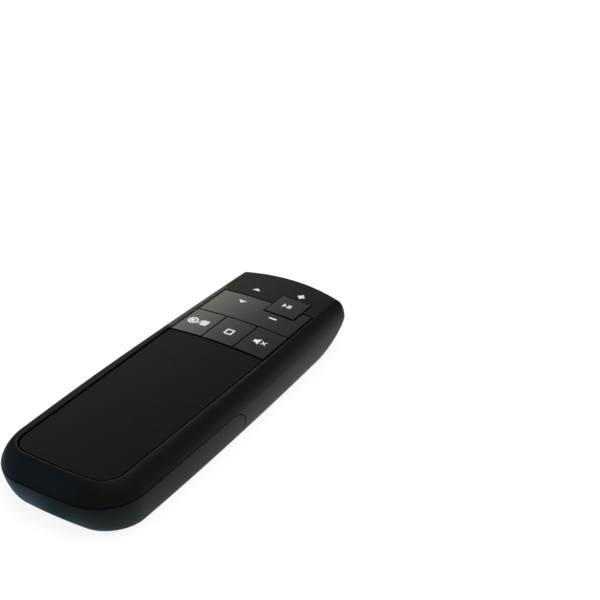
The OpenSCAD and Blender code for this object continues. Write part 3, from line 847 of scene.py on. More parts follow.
# Dark red acrylic that only lets the laser's colour out.
RED_WINDOW = ClearPlastic("dark_red_acrylic", "#8a1420", "#6d0e18", roughness=0.06)
# Main board and sensor board: green mask, a shade lighter over the copper.
BOARD = CircuitLaminate("green_masked_glass_epoxy", "#14492c", "#1d6238", run_pitch=3.2)


def dress(finishes: dict[str, Finish]) -> None:
    """Gives CAD nodes whose shapes stay their materials.

    Args:
        finishes: The finish of each node.
    """
    for node, finish in finishes.items():
        material = finish.material()
        for slot in frame["nodes"][node].material_slots:
            slot.material = material
        log.info("%-22s keeps its shape, finish %s", node, material.name)


# ---- The form of the body ----


def arc(centre: Point, radius: float, start: float, turn: float, steps: int) -> list[Point]:
    """Lists the points of an arc, both ends included.

    Args:
        centre: Its centre.
        radius: Its radius.
        start: Angle of its first point from +X, in degrees.
        turn: How far it turns from there, in degrees.
        steps: Number of steps along it.

    Returns:
        The points.
    """
    x, y = centre
    angles = [math.radians(start + turn * i / steps) for i in range(steps + 1)]
    return [(x + radius * math.cos(angle), y + radius * math.sin(angle)) for angle in angles]


@dataclass(frozen=True)
class BodyForm:
    """The crowned, tapering form that every outer surface is taken from."""

    length: float = 121.8
    tail_width: float = 44.0
    nose_width: float = 39.0
    height: float = 16.0
    widest_z: float = 10.0
    side_bow: float = 0.9
    tail_bow: float = 1.4
    nose_bow: float = 2.6
    tail_corner: float = 12.0
    nose_corner: float = 2.4
    crown: float = 0.5
    field_width: float = 33.6
    shoulder: Place = (3.4, 5.4, 2.2)
    tail_shoulder_power: float = 1.34
    nose_shoulder_power: float = 1.03
    blend_start: float = -56.0
    blend_end: float = -8.0
    under: Place = (2.3, 4.6, 15.3)
    under_power: float = 1.43
    end_steps: int = 20
    corner_steps: int = 20
    side_steps: int = 70
    section_steps: int = 18
    cap_steps: int = 5
    least_tail_corner: float = 1.0
    least_nose_corner: float = 0.6

    @property
    def tail_y(self) -> float:
        """Station of the tip of the tail."""
        return -self.length / 2

    @property
    def nose_y(self) -> float:
        """Station of the tip of the nose."""
        return self.length / 2

    def fall(self, x: float) -> float:
        """How far the crowned top lies below its crest at x."""
        return self.crown * (2 * x / self.field_width) ** 2

    def swell(self, y: float, start: float, end: float) -> float:
        """Share of the side's bow at a station between two ends."""
        return 1 - ((2 * y - start - end) / (end - start)) ** 2

    def side_at(self, y: float) -> float:
        """Half width of the body at its widest line.

        Args:
            y: The station.

        Returns:
            The distance from the middle to the side.
        """
        straight = self.length - self.tail_bow - self.nose_bow - self.tail_corner - self.nose_corner
        slope = (self.tail_width - self.nose_width) / 2 / straight
        start = self.tail_y + self.tail_bow
        half = self.tail_width / 2 - slope * (y - start - self.tail_corner)
        swell = self.swell(y, start, self.nose_y - self.nose_bow)
        return half * (1 + 2 * self.side_bow / self.tail_width * swell)

    def outline(self, side: float, tail: float, nose: float) -> list[Point]:
        """Outline of the body, drawn in at its sides, tail and nose.

        Args:
            side: How far the sides are drawn in.
            tail: How far the tail is drawn in.
            nose: How far the nose is drawn in.

        Returns:
            The closed outline, anticlockwise from the middle of the tail.
        """
        w0, w1 = self.tail_width / 2 - side, self.nose_width / 2 - side
        y0 = self.tail_y + self.tail_bow + tail
        y1 = self.nose_y - self.nose_bow - nose
        r0 = max(self.tail_corner - side, self.least_tail_corner)
        r1 = max(self.nose_corner - side, self.least_nose_corner)
        half = [((w0 - r0) * i / self.end_steps, y0) for i in range(self.end_steps)]
        half += arc((w0 - r0, y0 + r0), r0, -90, 90, self.corner_steps)
        for i in range(1, self.side_steps):
            share = i / self.side_steps
            half.append((w0 + (w1 - w0) * share, y0 + r0 + (y1 - r1 - y0 - r0) * share))
        half += arc((w1 - r1, y1 - r1), r1, 0, 90, self.corner_steps // 2)
        half += [((w1 - r1) * i / self.end_steps, y1) for i in range(self.end_steps - 1, -1, -1)]
        bowed = []
        for x, y in half:
            out = x * (1 + self.side_bow / w0 * self.swell(y, y0, y1))
            if y < (y0 + y1) / 2:
                bowed.append((out, y - self.tail_bow * (1 - (x / w0) ** 2)))
            else:
                bowed.append((out, y + self.nose_bow * (1 - (x / w1) ** 2)))
        return bowed + [(-x, y) for x, y in reversed(bowed[1:-1])]

    def ring(self, inset: Place, share: float, z: float, lift: float, skin: float) -> list[Place]:
        """One ring of the skin.

        Args:
            inset: Full inset of the sides, tail and nose at the end of this round.
            share: Share of that inset.
            z: Height of the ring at the middle line.
            lift: Share of the crown that the ring follows.
            skin: Depth of the ring inside the outer surface.

        Returns:
            The ring's points.
        """
        side, tail, nose = (value * share + skin for value in inset)
        return [(x, y, z - lift * self.fall(x)) for x, y in self.outline(side, tail, nose)]

    def nose_share(self, y: float) -> float:
        """How far the fuller shoulder of the nose has taken over.

        Args:
            y: The station.

        Returns:
            A share from 0 at the tail to 1 at the nose.
        """
        share = (y - self.blend_start) / (self.blend_end - self.blend_start)
        share = min(max(share, 0.0), 1.0)
        return share * share * (3 - 2 * share)

    def shoulder_ring(self, turn: float, power: float, skin: float) -> list[Place]:
        """One ring of the shoulder between the widest line and the top.

        Args:
            turn: How far round the shoulder the ring lies, in radians.
            power: How round the shoulder is; less is fuller.
            skin: Depth of the ring inside the outer surface.

        Returns:
            The ring's points.
        """
        share = 1 - max(math.cos(turn), 0) ** power
        lift = math.sin(turn) ** power
        z = self.widest_z + (self.height - skin - self.widest_z) * lift
        return self.ring(self.shoulder, share, z, lift, skin)

    def rings(self, skin: float) -> list[list[Place]]:
        """All rings of the skin, from a point under the middle to one at the crest.

        Args:
            skin: Depth of the rings inside the outer surface.

        Returns:
            The rings, all of one length.
        """
        rings = []
        for i in range(self.section_steps + 1):
            turn = math.radians(90 - 90 * i / self.section_steps)
            share = 1 - max(math.cos(turn), 0) ** self.under_power
            z = skin + (self.widest_z - skin) * (1 - math.sin(turn) ** self.under_power)
            rings.append(self.ring(self.under, share, z, 0, skin))
        for i in range(1, self.section_steps + 1):
            turn = math.radians(90 * i / self.section_steps)
            tail, nose = (
                self.shoulder_ring(turn, power, skin)
                for power in (self.tail_shoulder_power, self.nose_shoulder_power)
            )
            rings.append(
                [
                    tuple(Vector(a).lerp(Vector(b), self.nose_share(a[1])))
                    for a, b in zip(tail, nose, strict=True)
                ]
            )
        top = rings[-1]
        for i in range(self.cap_steps - 1, -1, -1):
            share = i / self.cap_steps
            rings.append(
                [
                    (share * x, share * y, self.height - skin - self.fall(share * x))
                    for x, y, _ in top
                ]
            )
        return [[(0, 0, skin)] * len(top)] + rings

    def solid(self, name: str, skin: float) -> Piece:
        """The closed body, a skin depth inside the outer surface."""
        return Bench.loft(name, self.rings(skin))


FORM = BodyForm()


# ---- Key field: the outlines that the housing, the panel and the keys share ----


@dataclass(frozen=True)
class KeyField:
    """Stations and outlines of the touch panel and the keys on the top."""

    width: float = 33.6
    nose_width: float = 32.3
    hood_len: float = 17.2
    nav_len: float = 13.6
    row_len: float = 13.4
    tail_margin: float = 5.9
    panel_corner: float = 5.4
    panel_bow: float = 1.4
    key_bow: float = 0.4
    gap: float = 0.42
    side_gap: float = 0.3
    left_gap: float = 0.5
    rim_gap: float = 0.4
    left_rim_gap: float = -0.2
    front_gap: float = 0.1
    play_width: float = 10.6
    play_len: float = 10.3
    play_x: float = 7.15
    play_reach: float = 5.6
    arc_steps: int = 16
    bump_steps: int = 8
    field_start: float = 1.0

    @property
    def front_y(self) -> float:
        """Station of the hood's rear edge."""
        return FORM.nose_y - self.hood_len

    @property
    def nav_back_y(self) -> float:
        """Station of the line between the wide key and the row."""
        return self.front_y - self.nav_len

    @property
    def row_back_y(self) -> float:
        """Station of the line between the row and the panel."""
        return self.nav_back_y - self.row_len

    @property
    def panel_back_y(self) -> float:
        """Station of the panel's tail edge."""
        return FORM.tail_y + self.tail_margin

    @property
    def play_y(self) -> float:
        """Station of the play key's middle."""
        return self.front_y + self.play_reach - self.play_len / 2

    @property
    def pitch(self) -> float:
        """Distance between the columns of the row."""
        return self.width / 3

    @property
    def panel_front_y(self) -> float:
        """Station of the panel's front edge."""
        return self.row_back_y - self.gap / 2

    def bow(self, x: float) -> float:
        """How far a line across the keys runs forward at x."""
        return self.key_bow * (1 - (2 * x / self.width) ** 2)

    def half_width(self, y: float, grow: float) -> float:
        """Half the width of the key field.

        Args:
            y: The station.
            grow: How far the field is grown.

        Returns:
            The distance from the middle to the field's side.
        """
        share = (y - self.panel_front_y) / (self.front_y - self.panel_front_y)
        return self.width / 2 + grow + (self.nose_width - self.width) / 2 * share

    def line(self, x0: float, x1: float, y: float) -> list[Point]:
        """A bowed line across the keys.

        Args:
            x0: Where it starts.
            x1: Where it ends.
            y: Its station beside the keys.

        Returns:
            The points, both ends included.
        """
        steps = max(2, round(abs(x1 - x0) / self.width * 2 * self.arc_steps))
        return [
            (x, y + self.bow(x)) for x in (x0 + (x1 - x0) * i / steps for i in range(steps + 1))
        ]

    def field(self, grow: float) -> list[Point]:
        """Outline of the keys' opening, from the panel's front edge to the hood.

        Args:
            grow: How far the outline is grown.

        Returns:
            The closed outline.
        """
        back = self.panel_front_y
        half = self.half_width(back, grow)
        front = [point for point in self.window(grow) if point[1] > back + self.field_start]
        return self.line(-half, half, back - grow) + front

    def sensor(self, inset: float) -> list[Point]:
        """Outline of the hole in the ledge that the sensor board lies in.

        Args:
            inset: Width of the ledge round it.

        Returns:
            The closed outline.
        """
        half = self.width / 2 - inset
        front = self.panel_front_y - inset
        return self.tail_edge(-inset) + [(half, front), (-half, front)]

    def tail_edge(self, grow: float) -> list[Point]:
        """The panel's round tail corners and its bowed tail edge.

        Args:
            grow: How far the edge is grown.

        Returns:
            The points from left to right.
        """
        half = self.width / 2 + grow
        radius = self.panel_corner + grow
        inner = half - radius
        low = self.panel_back_y + self.panel_bow - grow
        steps = self.arc_steps
        points = arc((-inner, low + radius), radius, 180, 90, steps)
        points += [(inner * (i / steps), low) for i in range(1 - steps, steps)]
        points += arc((inner, low + radius), radius, 270, 90, steps)
        return [(x, y - self.panel_bow * (1 - (x / half) ** 2)) for x, y in points]

    def panel(self, grow: float) -> list[Point]:
        """Outline of the touch panel.

        Args:
            grow: How far the outline is grown.

        Returns:
            The closed outline.
        """
        half = self.width / 2 + grow
        return self.tail_edge(grow) + self.line(half, -half, self.panel_front_y + grow)

    def window(self, grow: float) -> list[Point]:
        """Outline of the housing's whole opening round the panel and the keys.

        Args:
            grow: How far the outline is grown.

        Returns:
            The closed outline.
        """
        back, front = self.panel_front_y, self.front_y
        half_back, half_front = (self.half_width(y, grow) for y in (back, front))
        left_grow = grow - self.rim_gap + self.left_rim_gap
        left_back, left_front = (-self.half_width(y, left_grow) for y in (back, front))
        ahead = grow - self.rim_gap + self.front_gap
        play_left = self.play_x - self.play_width / 2 - ahead
        play_right = self.play_x + self.play_width / 2 + ahead
        play_front = self.play_y + self.play_len / 2 + ahead
        bump = [
            (play_right + (play_left - play_right) * i / self.bump_steps, play_front)
            for i in range(self.bump_steps + 1)
        ]
        return (
            self.tail_edge(grow)
            + [(half_back, back)]
            + self.line(half_front, play_right, front + ahead)
            + bump
            + self.line(play_left, left_front, front + ahead)
            + [(left_back, back), (-half_back, back - self.gap)]
        )

    def sides(self, y: float) -> Point:
        """Left and right ends of the keys at a station."""
        return -self.half_width(y, -self.left_gap), self.half_width(y, -self.side_gap)

    def small_key(self, column: int) -> list[Point]:
        """Outline of a key of the row.

        Args:
            column: Its column: -1, 0 or 1.

        Returns:
            The closed outline.
        """
        left = (column - 0.5) * self.pitch + self.gap / 2
        right = (column + 0.5) * self.pitch - self.gap / 2
        back, front = self.row_back_y, self.nav_back_y - self.gap / 2
        rear_left, rear_right = self.sides(back)
        fore_left, fore_right = self.sides(front)
        return self.line(max(left, rear_left), min(right, rear_right), back) + self.line(
            min(right, fore_right), max(left, fore_left), front
        )

    def wide_key(self) -> list[Point]:
        """Outline of the wide key, with the corner for the play key left out.

        Returns:
            The closed outline.
        """
        back, front = self.nav_back_y + self.gap / 2, self.front_y - self.gap / 2
        rear_left, rear_right = self.sides(back)
        fore_left, fore_right = self.sides(front)
        notch_left = self.play_x - (self.play_width + self.gap) / 2
        notch_right = self.play_x + (self.play_width + self.gap) / 2
        notch_back = self.play_y - (self.play_len + self.gap) / 2
        return (
            self.line(rear_left, rear_right, back)
            + self.line(fore_right, notch_right, front)
            + [(notch_right, notch_back), (notch_left, notch_back)]
            + self.line(notch_left, fore_left, front)
        )

    def play_key(self) -> list[Point]:
        """Outline of the square play key.

        Returns:
            Its four corners.
        """
        half_x, half_y = (self.play_width - self.gap) / 2, (self.play_len - self.gap) / 2
        x0, x1 = self.play_x - half_x, self.play_x + half_x
        y0, y1 = self.play_y - half_y, self.play_y + half_y
        return [(x0, y0), (x1, y0), (x1, y1), (x0, y1)]


FIELD = KeyField()


def crowned_slab(
    name: str, outline: Sequence[Point], low: float, crest: float, edge: float, cuts: int = 12
) -> Piece:
    """Makes a slab whose top follows the crown and whose top edge is rounded.

    Args:
        name: Name of the new object.
        outline: Its outline in plan.
        low: Height of its underside.
        crest: Height that its top would have on the middle line.
        edge: Radius of the rounded edges.
        cuts: Number of strips across its width that follow the crown.

    Returns:
        The finished slab.
    """
    slab = Bench.prism(name, outline, low, crest)
    left, right = min(x for x, _ in outline), max(x for x, _ in outline)
    with Bench.edit(slab):
        for i in range(1, cuts):
            bpy.ops.mesh.select_all(action="SELECT")
            bpy.ops.mesh.bisect(
                plane_co=((left + (right - left) * i / cuts) * MM, 0, 0), plane_no=(1, 0, 0)
            )
    middle = (low + crest) / 2 * MM
    for vertex in slab.data.vertices:
        if vertex.co.z > middle:
            vertex.co.z -= FORM.fall(vertex.co.x / MM) * MM
    Bench.apply(
        slab,
        "BEVEL",
        width=edge * MM,
        segments=EDGE_STEPS,
        limit_method="ANGLE",
        angle_limit=math.radians(40),
    )
    Bench.flatten(slab)
    return slab


# ---- Housing and battery door ----


def inside(point: Point, outline: Sequence[Point]) -> bool:
    """Tells whether a point lies inside a closed outline.

    Args:
        point: The point.
        outline: The outline's corners.

    Returns:
        True if a ray from the point crosses the outline an odd number of times.
    """
    x, y = point
    crossed = False
    for (x0, y0), (x1, y1) in zip(outline, [*outline[1:], outline[0]], strict=True):
        if (y0 > y) != (y1 > y) and x < x0 + (y - y0) * (x1 - x0) / (y1 - y0):
            crossed = not crossed
    return crossed


@dataclass(frozen=True)
class Shells:
    """The top housing and the battery door, cut from one lofted skin."""

    housing_wall: float = 1.5
    door_wall: float = 1.3
    plate_thickness: float = 1.5
    plate_inset: float = 1.2
    fit: float = 0.15
    seam_gap: float = 0.2
    seam_z: float = 10.4
    door_front_y: float = 1.6
    door_corner: float = 8.3
    corner_steps: int = 32
    zone_past: float = 5.0
    hook_lap: float = 3.0
    rim_round: float = 0.12
    rim_steps: Sequence[int] = (0, 18, 36, 54, 72)
    lip_width: float = 0.36
    lip_drop: float = 0.05
    lip_start: float = 2.0
    lip_shares: Sequence[float] = (0.5, 1.0, 1.05)
    lip_power: float = 1.5
    # How far out the lip's painted highlight reaches, as a share of the lip's width
    lip_highlight_reach: float = 1.02
    facing_up: float = 0.9
    rim_flare: float = 0.1
    overcut: float = 0.15
    line_width: float = 0.31
    line_depth: float = 0.25
    ledge_z: float = 13.35
    panel_z: float = 14.2
    tray_top: float = 13.2
    tray_back_y: float = -50.1
    ledge_width: float = 1.8
    ledge_rise: float = 0.6
    field_grow: float = 0.3
    pillar_width: float = 4.6
    pillar_low_z: float = 2.6
    pillar_gap: float = 0.05
    collar_radius: float = 4.5
    collar_share: float = 0.4
    ear_z: float = 8.6
    ear_thickness: float = 1.2
    rail_z: float = 6.6
    rail_height: float = 1.0
    tongue_inner_x: float = 18.6
    tongue_thickness: float = 0.9
    tongue_start: float = 6.0
    tongue_short: float = 3.6
    groove_radius: float = 1.4
    groove_depth: float = 0.5
    groove_count: int = 3
    groove_pitch: float = 4.2
    groove_half: float = 7.0
    shade_angle: float = 28.0

    def hollow(self, name: str, wall: float) -> Piece:
        """The whole body as a shell of one wall thickness."""
        return Bench.carve(FORM.solid(name, 0), FORM.solid("core", wall))

    def door_zone(self, inset: float) -> Piece:
        """Solid of everything below the seam and behind the door's front edge.

        Args:
            inset: How far the zone is drawn in from the middle of the seam.

        Returns:
            The solid, right across the body.
        """
        radius = self.door_corner - inset
        back, front = FORM.tail_y - self.zone_past, self.door_front_y - inset
        top = self.seam_z - inset
        side = [(back, -PAST), (front, -PAST)]
        side += arc((front - radius, top - radius), radius, 0, 90, self.corner_steps)
        side.append((back, top))
        zone = Bench.prism("door_zone", side, -FORM.tail_width, FORM.tail_width)
        for vertex in zone.data.vertices:
            vertex.co = vertex.co.zxy
        Bench.orient(zone)
        return zone

    def seam_line(self) -> Piece:
        """Makes the tool for the shadow line, a shallow step along both edges of the seam.

        Returns:
            The tool.
        """
        band = self.door_zone(-self.line_width / 2)
        Bench.carve(band, self.door_zone(self.line_width / 2))
        return Bench.carve(band, FORM.solid("core", self.line_depth))

    def rim_ring(self, out: float, deep: float, lip_out: float, lip_deep: float) -> list[Place]:
        """One ring of the rim, which slopes down in a fine lip beside the panel only.

        Args:
            out: How far the ring lies outside the opening, beside the keys.
            deep: How far it lies below the crown there.
            lip_out: How far it lies outside the opening, beside the panel.
            lip_deep: How far it lies below the crown there.

        Returns:
            The ring's points.
        """
        by_keys = FIELD.window(FIELD.rim_gap + out)
        by_panel = FIELD.window(FIELD.rim_gap + lip_out)
        ring = []
        for keys, panel in zip(by_keys, by_panel, strict=True):
            (x, y), low = (panel, lip_deep) if keys[1] <= FIELD.row_back_y else (keys, deep)
            ring.append((x, y, FORM.height - FORM.fall(x) - low))
        return ring

    def rim_tool(self) -> Piece:
        """Makes the tool that opens the top and finishes the opening's rim.

        Returns:
            The tool.
        """
        low = [(x, y, self.panel_z) for x, y in FIELD.window(FIELD.rim_gap)]
        rings = [[(0, 0, self.panel_z)] * len(low), low]
        radius = self.rim_round
        for turn in self.rim_steps:
            out = radius * (1 - math.cos(math.radians(turn)))
            deep = radius * (1 - math.sin(math.radians(turn)))
            rings.append(self.rim_ring(out, deep, out, deep + self.lip_drop))
        for share in self.lip_shares:
            lift = self.overcut if share > 1 else 0.0
            rings.append(
                self.rim_ring(
                    radius * (1 + self.rim_flare * share),
                    -self.overcut * share,
                    radius + self.lip_width * share,
                    self.lip_drop * max(1 - share, 0) ** self.lip_power - lift,
                )
            )
        rings.append([(0, 0, FORM.height + PAST)] * len(low))
        return Bench.loft("rim_tool", rings)

    def pillars(self) -> list[Piece]:
        """Makes the pillars for the two side screws and the tail screw, and the laser's collar.

        Returns:
            The four solids.
        """
        screw_x, screw_y, tail_y = Screws.places()
        half = self.pillar_width / 2
        made = [
            Bench.block(
                "side_pillar",
                (side * screw_x - half, screw_y - half, self.pillar_low_z),
                (side * screw_x + half, screw_y + half, self.panel_z - self.pillar_gap),
            )
            for side in (-1, 1)
        ]
        post_low = self.ear_z + self.ear_thickness
        made.append(Bench.rod("tail_post", (0, tail_y, post_low), (0, tail_y, FORM.height), half))
        low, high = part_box("laser_barrel")
        axis = (low + high) / 2 / MM
        start = (low.y + self.collar_share * (high.y - low.y)) / MM
        made.append(
            Bench.rod(
                "laser_collar",
                (axis.x, start, axis.z),
                (axis.x, FORM.nose_y, axis.z),
                self.collar_radius,
            )
        )
        return made

    def under_tools(self) -> list[Piece]:
        """Makes the tools for the opening in the underside that the plate closes.

        Returns:
            The tools.
        """
        inset = self.plate_inset - self.fit
        under = [value + inset for value in FORM.under]
        back = self.door_front_y + self.seam_gap - self.fit
        plate = [(x, y) for x, y in FORM.outline(*under) if y > back]
        left, right = (
            min((point for point in plate if side * point[0] > 0), key=lambda point: point[1])
            for side in (-1, 1)
        )
        order = plate.index(right)
        plate = plate[order:] + plate[:order] + [(left[0], back), (right[0], back)]
        top = self.plate_thickness + self.fit
        half = FORM.side_at(self.door_front_y) - FORM.under[0] - self.plate_inset
        return [
            Bench.prism("plate_tool", plate, -PAST, top),
            Bench.block(
                "lap_tool",
                (-half, self.door_front_y - self.hook_lap, -PAST),
                (half, self.door_front_y + self.hook_lap, top),
            ),
        ]

    def build_top(self) -> Piece:
        """Makes the top housing.

        Returns:
            The shell, not yet shaded or placed.
        """
        shell = self.hollow("top_shell", self.housing_wall)
        Bench.carve(shell, self.door_zone(-self.seam_gap / 2))
        ledge = Bench.prism(
            "ledge",
            FIELD.panel(self.housing_wall - FIELD.gap),
            self.ledge_z,
            self.panel_z + self.ledge_rise,
        )
        for pillar in self.pillars():
            Bench.carve(ledge, pillar, Cut.JOIN)
        Bench.carve(ledge, FORM.solid("inner", self.housing_wall / 2), Cut.KEEP)
        Bench.carve(shell, ledge, Cut.JOIN)
        Bench.carve(shell, self.rim_tool())
        openings = {
            "field": FIELD.field(self.field_grow),
            "sensor": FIELD.sensor(self.ledge_width),
        }
        for name, outline in openings.items():
            Bench.carve(shell, Bench.prism(name, outline, self.tray_top, self.panel_z + PAST))
        for tool in self.under_tools():
            Bench.carve(shell, tool)
        for tool in (*LaserUnit().bores(), PowerSlider().slot(), *Screws.pilots()):
            Bench.carve(shell, tool)
        return Bench.carve(shell, self.seam_line())

    def build_door(self) -> Piece:
        """Makes the battery door with its two tongues and its thumb grooves.

        Returns:
            The door, not yet shaded or placed.
        """
        door = self.hollow("door_shell", self.door_wall)
        Bench.carve(door, self.door_zone(self.seam_gap / 2), Cut.KEEP)
        low_z = self.rail_z + self.rail_height + self.fit
        for side in (-1, 1):
            inner, outer = side * self.tongue_inner_x, side * FORM.tail_width / 2
            tongue = Bench.block(
                "tongue",
                (min(inner, outer), self.tray_back_y + self.tongue_start, low_z),
                (
                    max(inner, outer),
                    self.door_front_y - self.tongue_short,
                    low_z + self.tongue_thickness,
                ),
            )
            Bench.carve(tongue, FORM.solid("inner", self.door_wall / 2), Cut.KEEP)
            Bench.carve(door, tongue, Cut.JOIN)
        radius, half = self.groove_radius, self.groove_half
        for i in range(self.groove_count):
            y = self.tray_back_y + (i + 1) * self.groove_pitch
            z = self.groove_depth - radius
            Bench.carve(door, Bench.rod("groove", (-half, y, z), (half, y, z), radius, sides=96))
        return Bench.carve(door, self.seam_line())

    def paint_lip_highlight(self, shell: Piece) -> None:
        """Gives the lip beside and behind the panel its lighter finish, a painted highlight.

        Args:
            shell: The top housing.
        """
        # The lip's top faces take the lighter finish: a painted highlight along the panel's edge.
        shell.data.materials.append(LIP_HIGHLIGHT_SHELL.material())
        reach = self.rim_round + self.lip_width * self.lip_highlight_reach
        outline = FIELD.window(FIELD.rim_gap + reach)
        for face in shell.data.polygons:
            x, y, z = face.center / MM
            on_top = z > self.panel_z and face.normal.z > self.facing_up
            if on_top and y < FIELD.row_back_y - self.lip_start:
                face.material_index = 1 if inside((x, y), outline) else 0

    def build(self) -> None:
        """Makes both shells and places them."""
        shell = self.build_top()
        Bench.flatten(shell, self.shade_angle)
        Bench.place(shell, Body.HOUSING, SOFT_SHELL.material(), "soft_shell", ["top_housing"])
        self.paint_lip_highlight(shell)
        door = self.build_door()
        Bench.flatten(door, self.shade_angle)
        Bench.place(door, Body.DOOR, DOOR_SHELL.material(), "soft_shell", ["battery_door"])


@dataclass(frozen=True)
class Screws:
    """The screws that hold the two housings together."""

    thread: float = 1.7
    head: float = 3.2
    room: float = 0.05
    side_depth: float = 8.6
    tail_low_z: float = 8.6
    tail_high_z: float = 13.5
    sides: int = 24

    @staticmethod
    def places() -> tuple[float, float, float]:
        """Finds where the screws stand.

        Returns:
            Distance of the side screws from the middle, their station, and the tail screw's.
        """
        low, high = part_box("housing_screws")
        head = Screws.head / 2
        return high.x / MM - head, high.y / MM - head, low.y / MM + head

    @staticmethod
    def pilots() -> list[Piece]:
        """Makes the tools for the holes that the screws cut into.

        Returns:
            The tools of the two side screws and of the tail screw.
        """
        screw_x, screw_y, tail_y = Screws.places()
        holes = [(side * screw_x, screw_y, 0, Screws.side_depth) for side in (-1, 1)]
        holes.append((0, tail_y, Screws.tail_low_z, Screws.tail_high_z))
        radius = Screws.thread / 2 + Screws.room
        return [
            Bench.rod("pilot", (x, y, low), (x, y, high), radius, sides=Screws.sides)
            for x, y, low, high in holes
        ]


@dataclass(frozen=True)
class Keys:
    """The wide key, the play key and the row of three, each a cap on its stems."""

    crest: float = 15.9
    thickness: float = 1.7
    edge: float = 0.09
    side_shade_edge: float = 0.93
    play_proud: float = 0.2
    stem: float = 3.0
    stem_low_z: float = 11.8
    root: float = 0.6
    nav_stem_x: float = 6.8
    nav_stem_y: float = 36.5
    ridge_radius: float = 0.5
    ridge_z: float = 13.75
    ridge_inset: float = 1.5

    def add_stem(self, cap: Piece, x: float, y: float) -> None:
        """Joins a stem under a cap, which presses the switch below it.

        Args:
            cap: The cap.
            x: Where the stem's axis lies.
            y: Its station.
        """
        top = self.crest - self.thickness + self.root
        stem = Bench.rod("stem", (x, y, self.stem_low_z), (x, y, top), self.stem / 2, sides=32)
        Bench.carve(cap, stem, Cut.JOIN)

    def finish(self, cap: Piece, body: Body, node: str) -> None:
        """Shades and places one cap, satin painted on top, with black down its sides as painted
        shade for the gaps.

        Args:
            cap: The cap with its stems.
            body: The body that it rides on.
            node: The CAD node that it stands for.
        """
        Bench.flatten(cap)
        Bench.place(cap, body, SATIN_KEY.material(), "key_satin", [node])
        cap.data.materials.append(KEY_SIDE_SHADE.material())
        # Faces that do not face up take the black side finish: painted shade in the gaps between
        # the keys.
        for face in cap.data.polygons:
            face.material_index = 0 if face.normal.z > self.side_shade_edge else 1

    def build(self) -> None:
        """Makes the five caps."""
        low = self.crest - self.thickness
        row_y = FIELD.row_back_y + FIELD.row_len / 2
        row = {
            -1: (Body.LEFT, "left_key"),
            0: (Body.CENTRE, "centre_key"),
            1: (Body.RIGHT, "right_key"),
        }
        for column, (body, node) in row.items():
            outline = FIELD.small_key(column)
            cap = crowned_slab(f"{node}_cap", outline, low, self.crest, self.edge, cuts=6)
            self.add_stem(cap, column * FIELD.pitch, row_y)
            self.finish(cap, body, node)
        play = crowned_slab(
            "play_key_cap", FIELD.play_key(), low, self.crest + self.play_proud, self.edge, cuts=6
        )
        self.add_stem(play, FIELD.play_x, FIELD.play_y)
        self.finish(play, Body.PLAY, "play_key")
        wide = crowned_slab("wide_key_cap", FIELD.wide_key(), low, self.crest, self.edge, cuts=14)
        for side in (-1, 1):
            self.add_stem(wide, side * self.nav_stem_x, self.nav_stem_y)
        back, front = FIELD.nav_back_y + self.ridge_inset, FIELD.front_y - self.ridge_inset
        radius = self.ridge_radius
        ridge = Bench.rod("ridge", (0, back, self.ridge_z), (0, front, self.ridge_z), radius)
        rib = Bench.block("rib", (-radius, back, self.ridge_z), (radius, front, low + self.root))
        Bench.carve(ridge, rib, Cut.JOIN)
        Bench.carve(wide, ridge, Cut.JOIN)
        self.finish(wide, Body.WIDE_KEY, "nav_plate")


@dataclass(frozen=True)
class TouchPanel:
    """The sunk touch surface behind the keys."""

    fit: float = 0.22
    low_z: float = 14.2
    crest: float = 15.7
    edge: float = 0.15

    def build(self) -> None:
        """Makes the panel."""
        panel = crowned_slab(
            "touch_surface", FIELD.panel(-self.fit), self.low_z, self.crest, self.edge, cuts=16
        )
        Bench.place(panel, Body.HOUSING, TOUCH_FILM.material(), "touch_surface", ["touch_panel"])


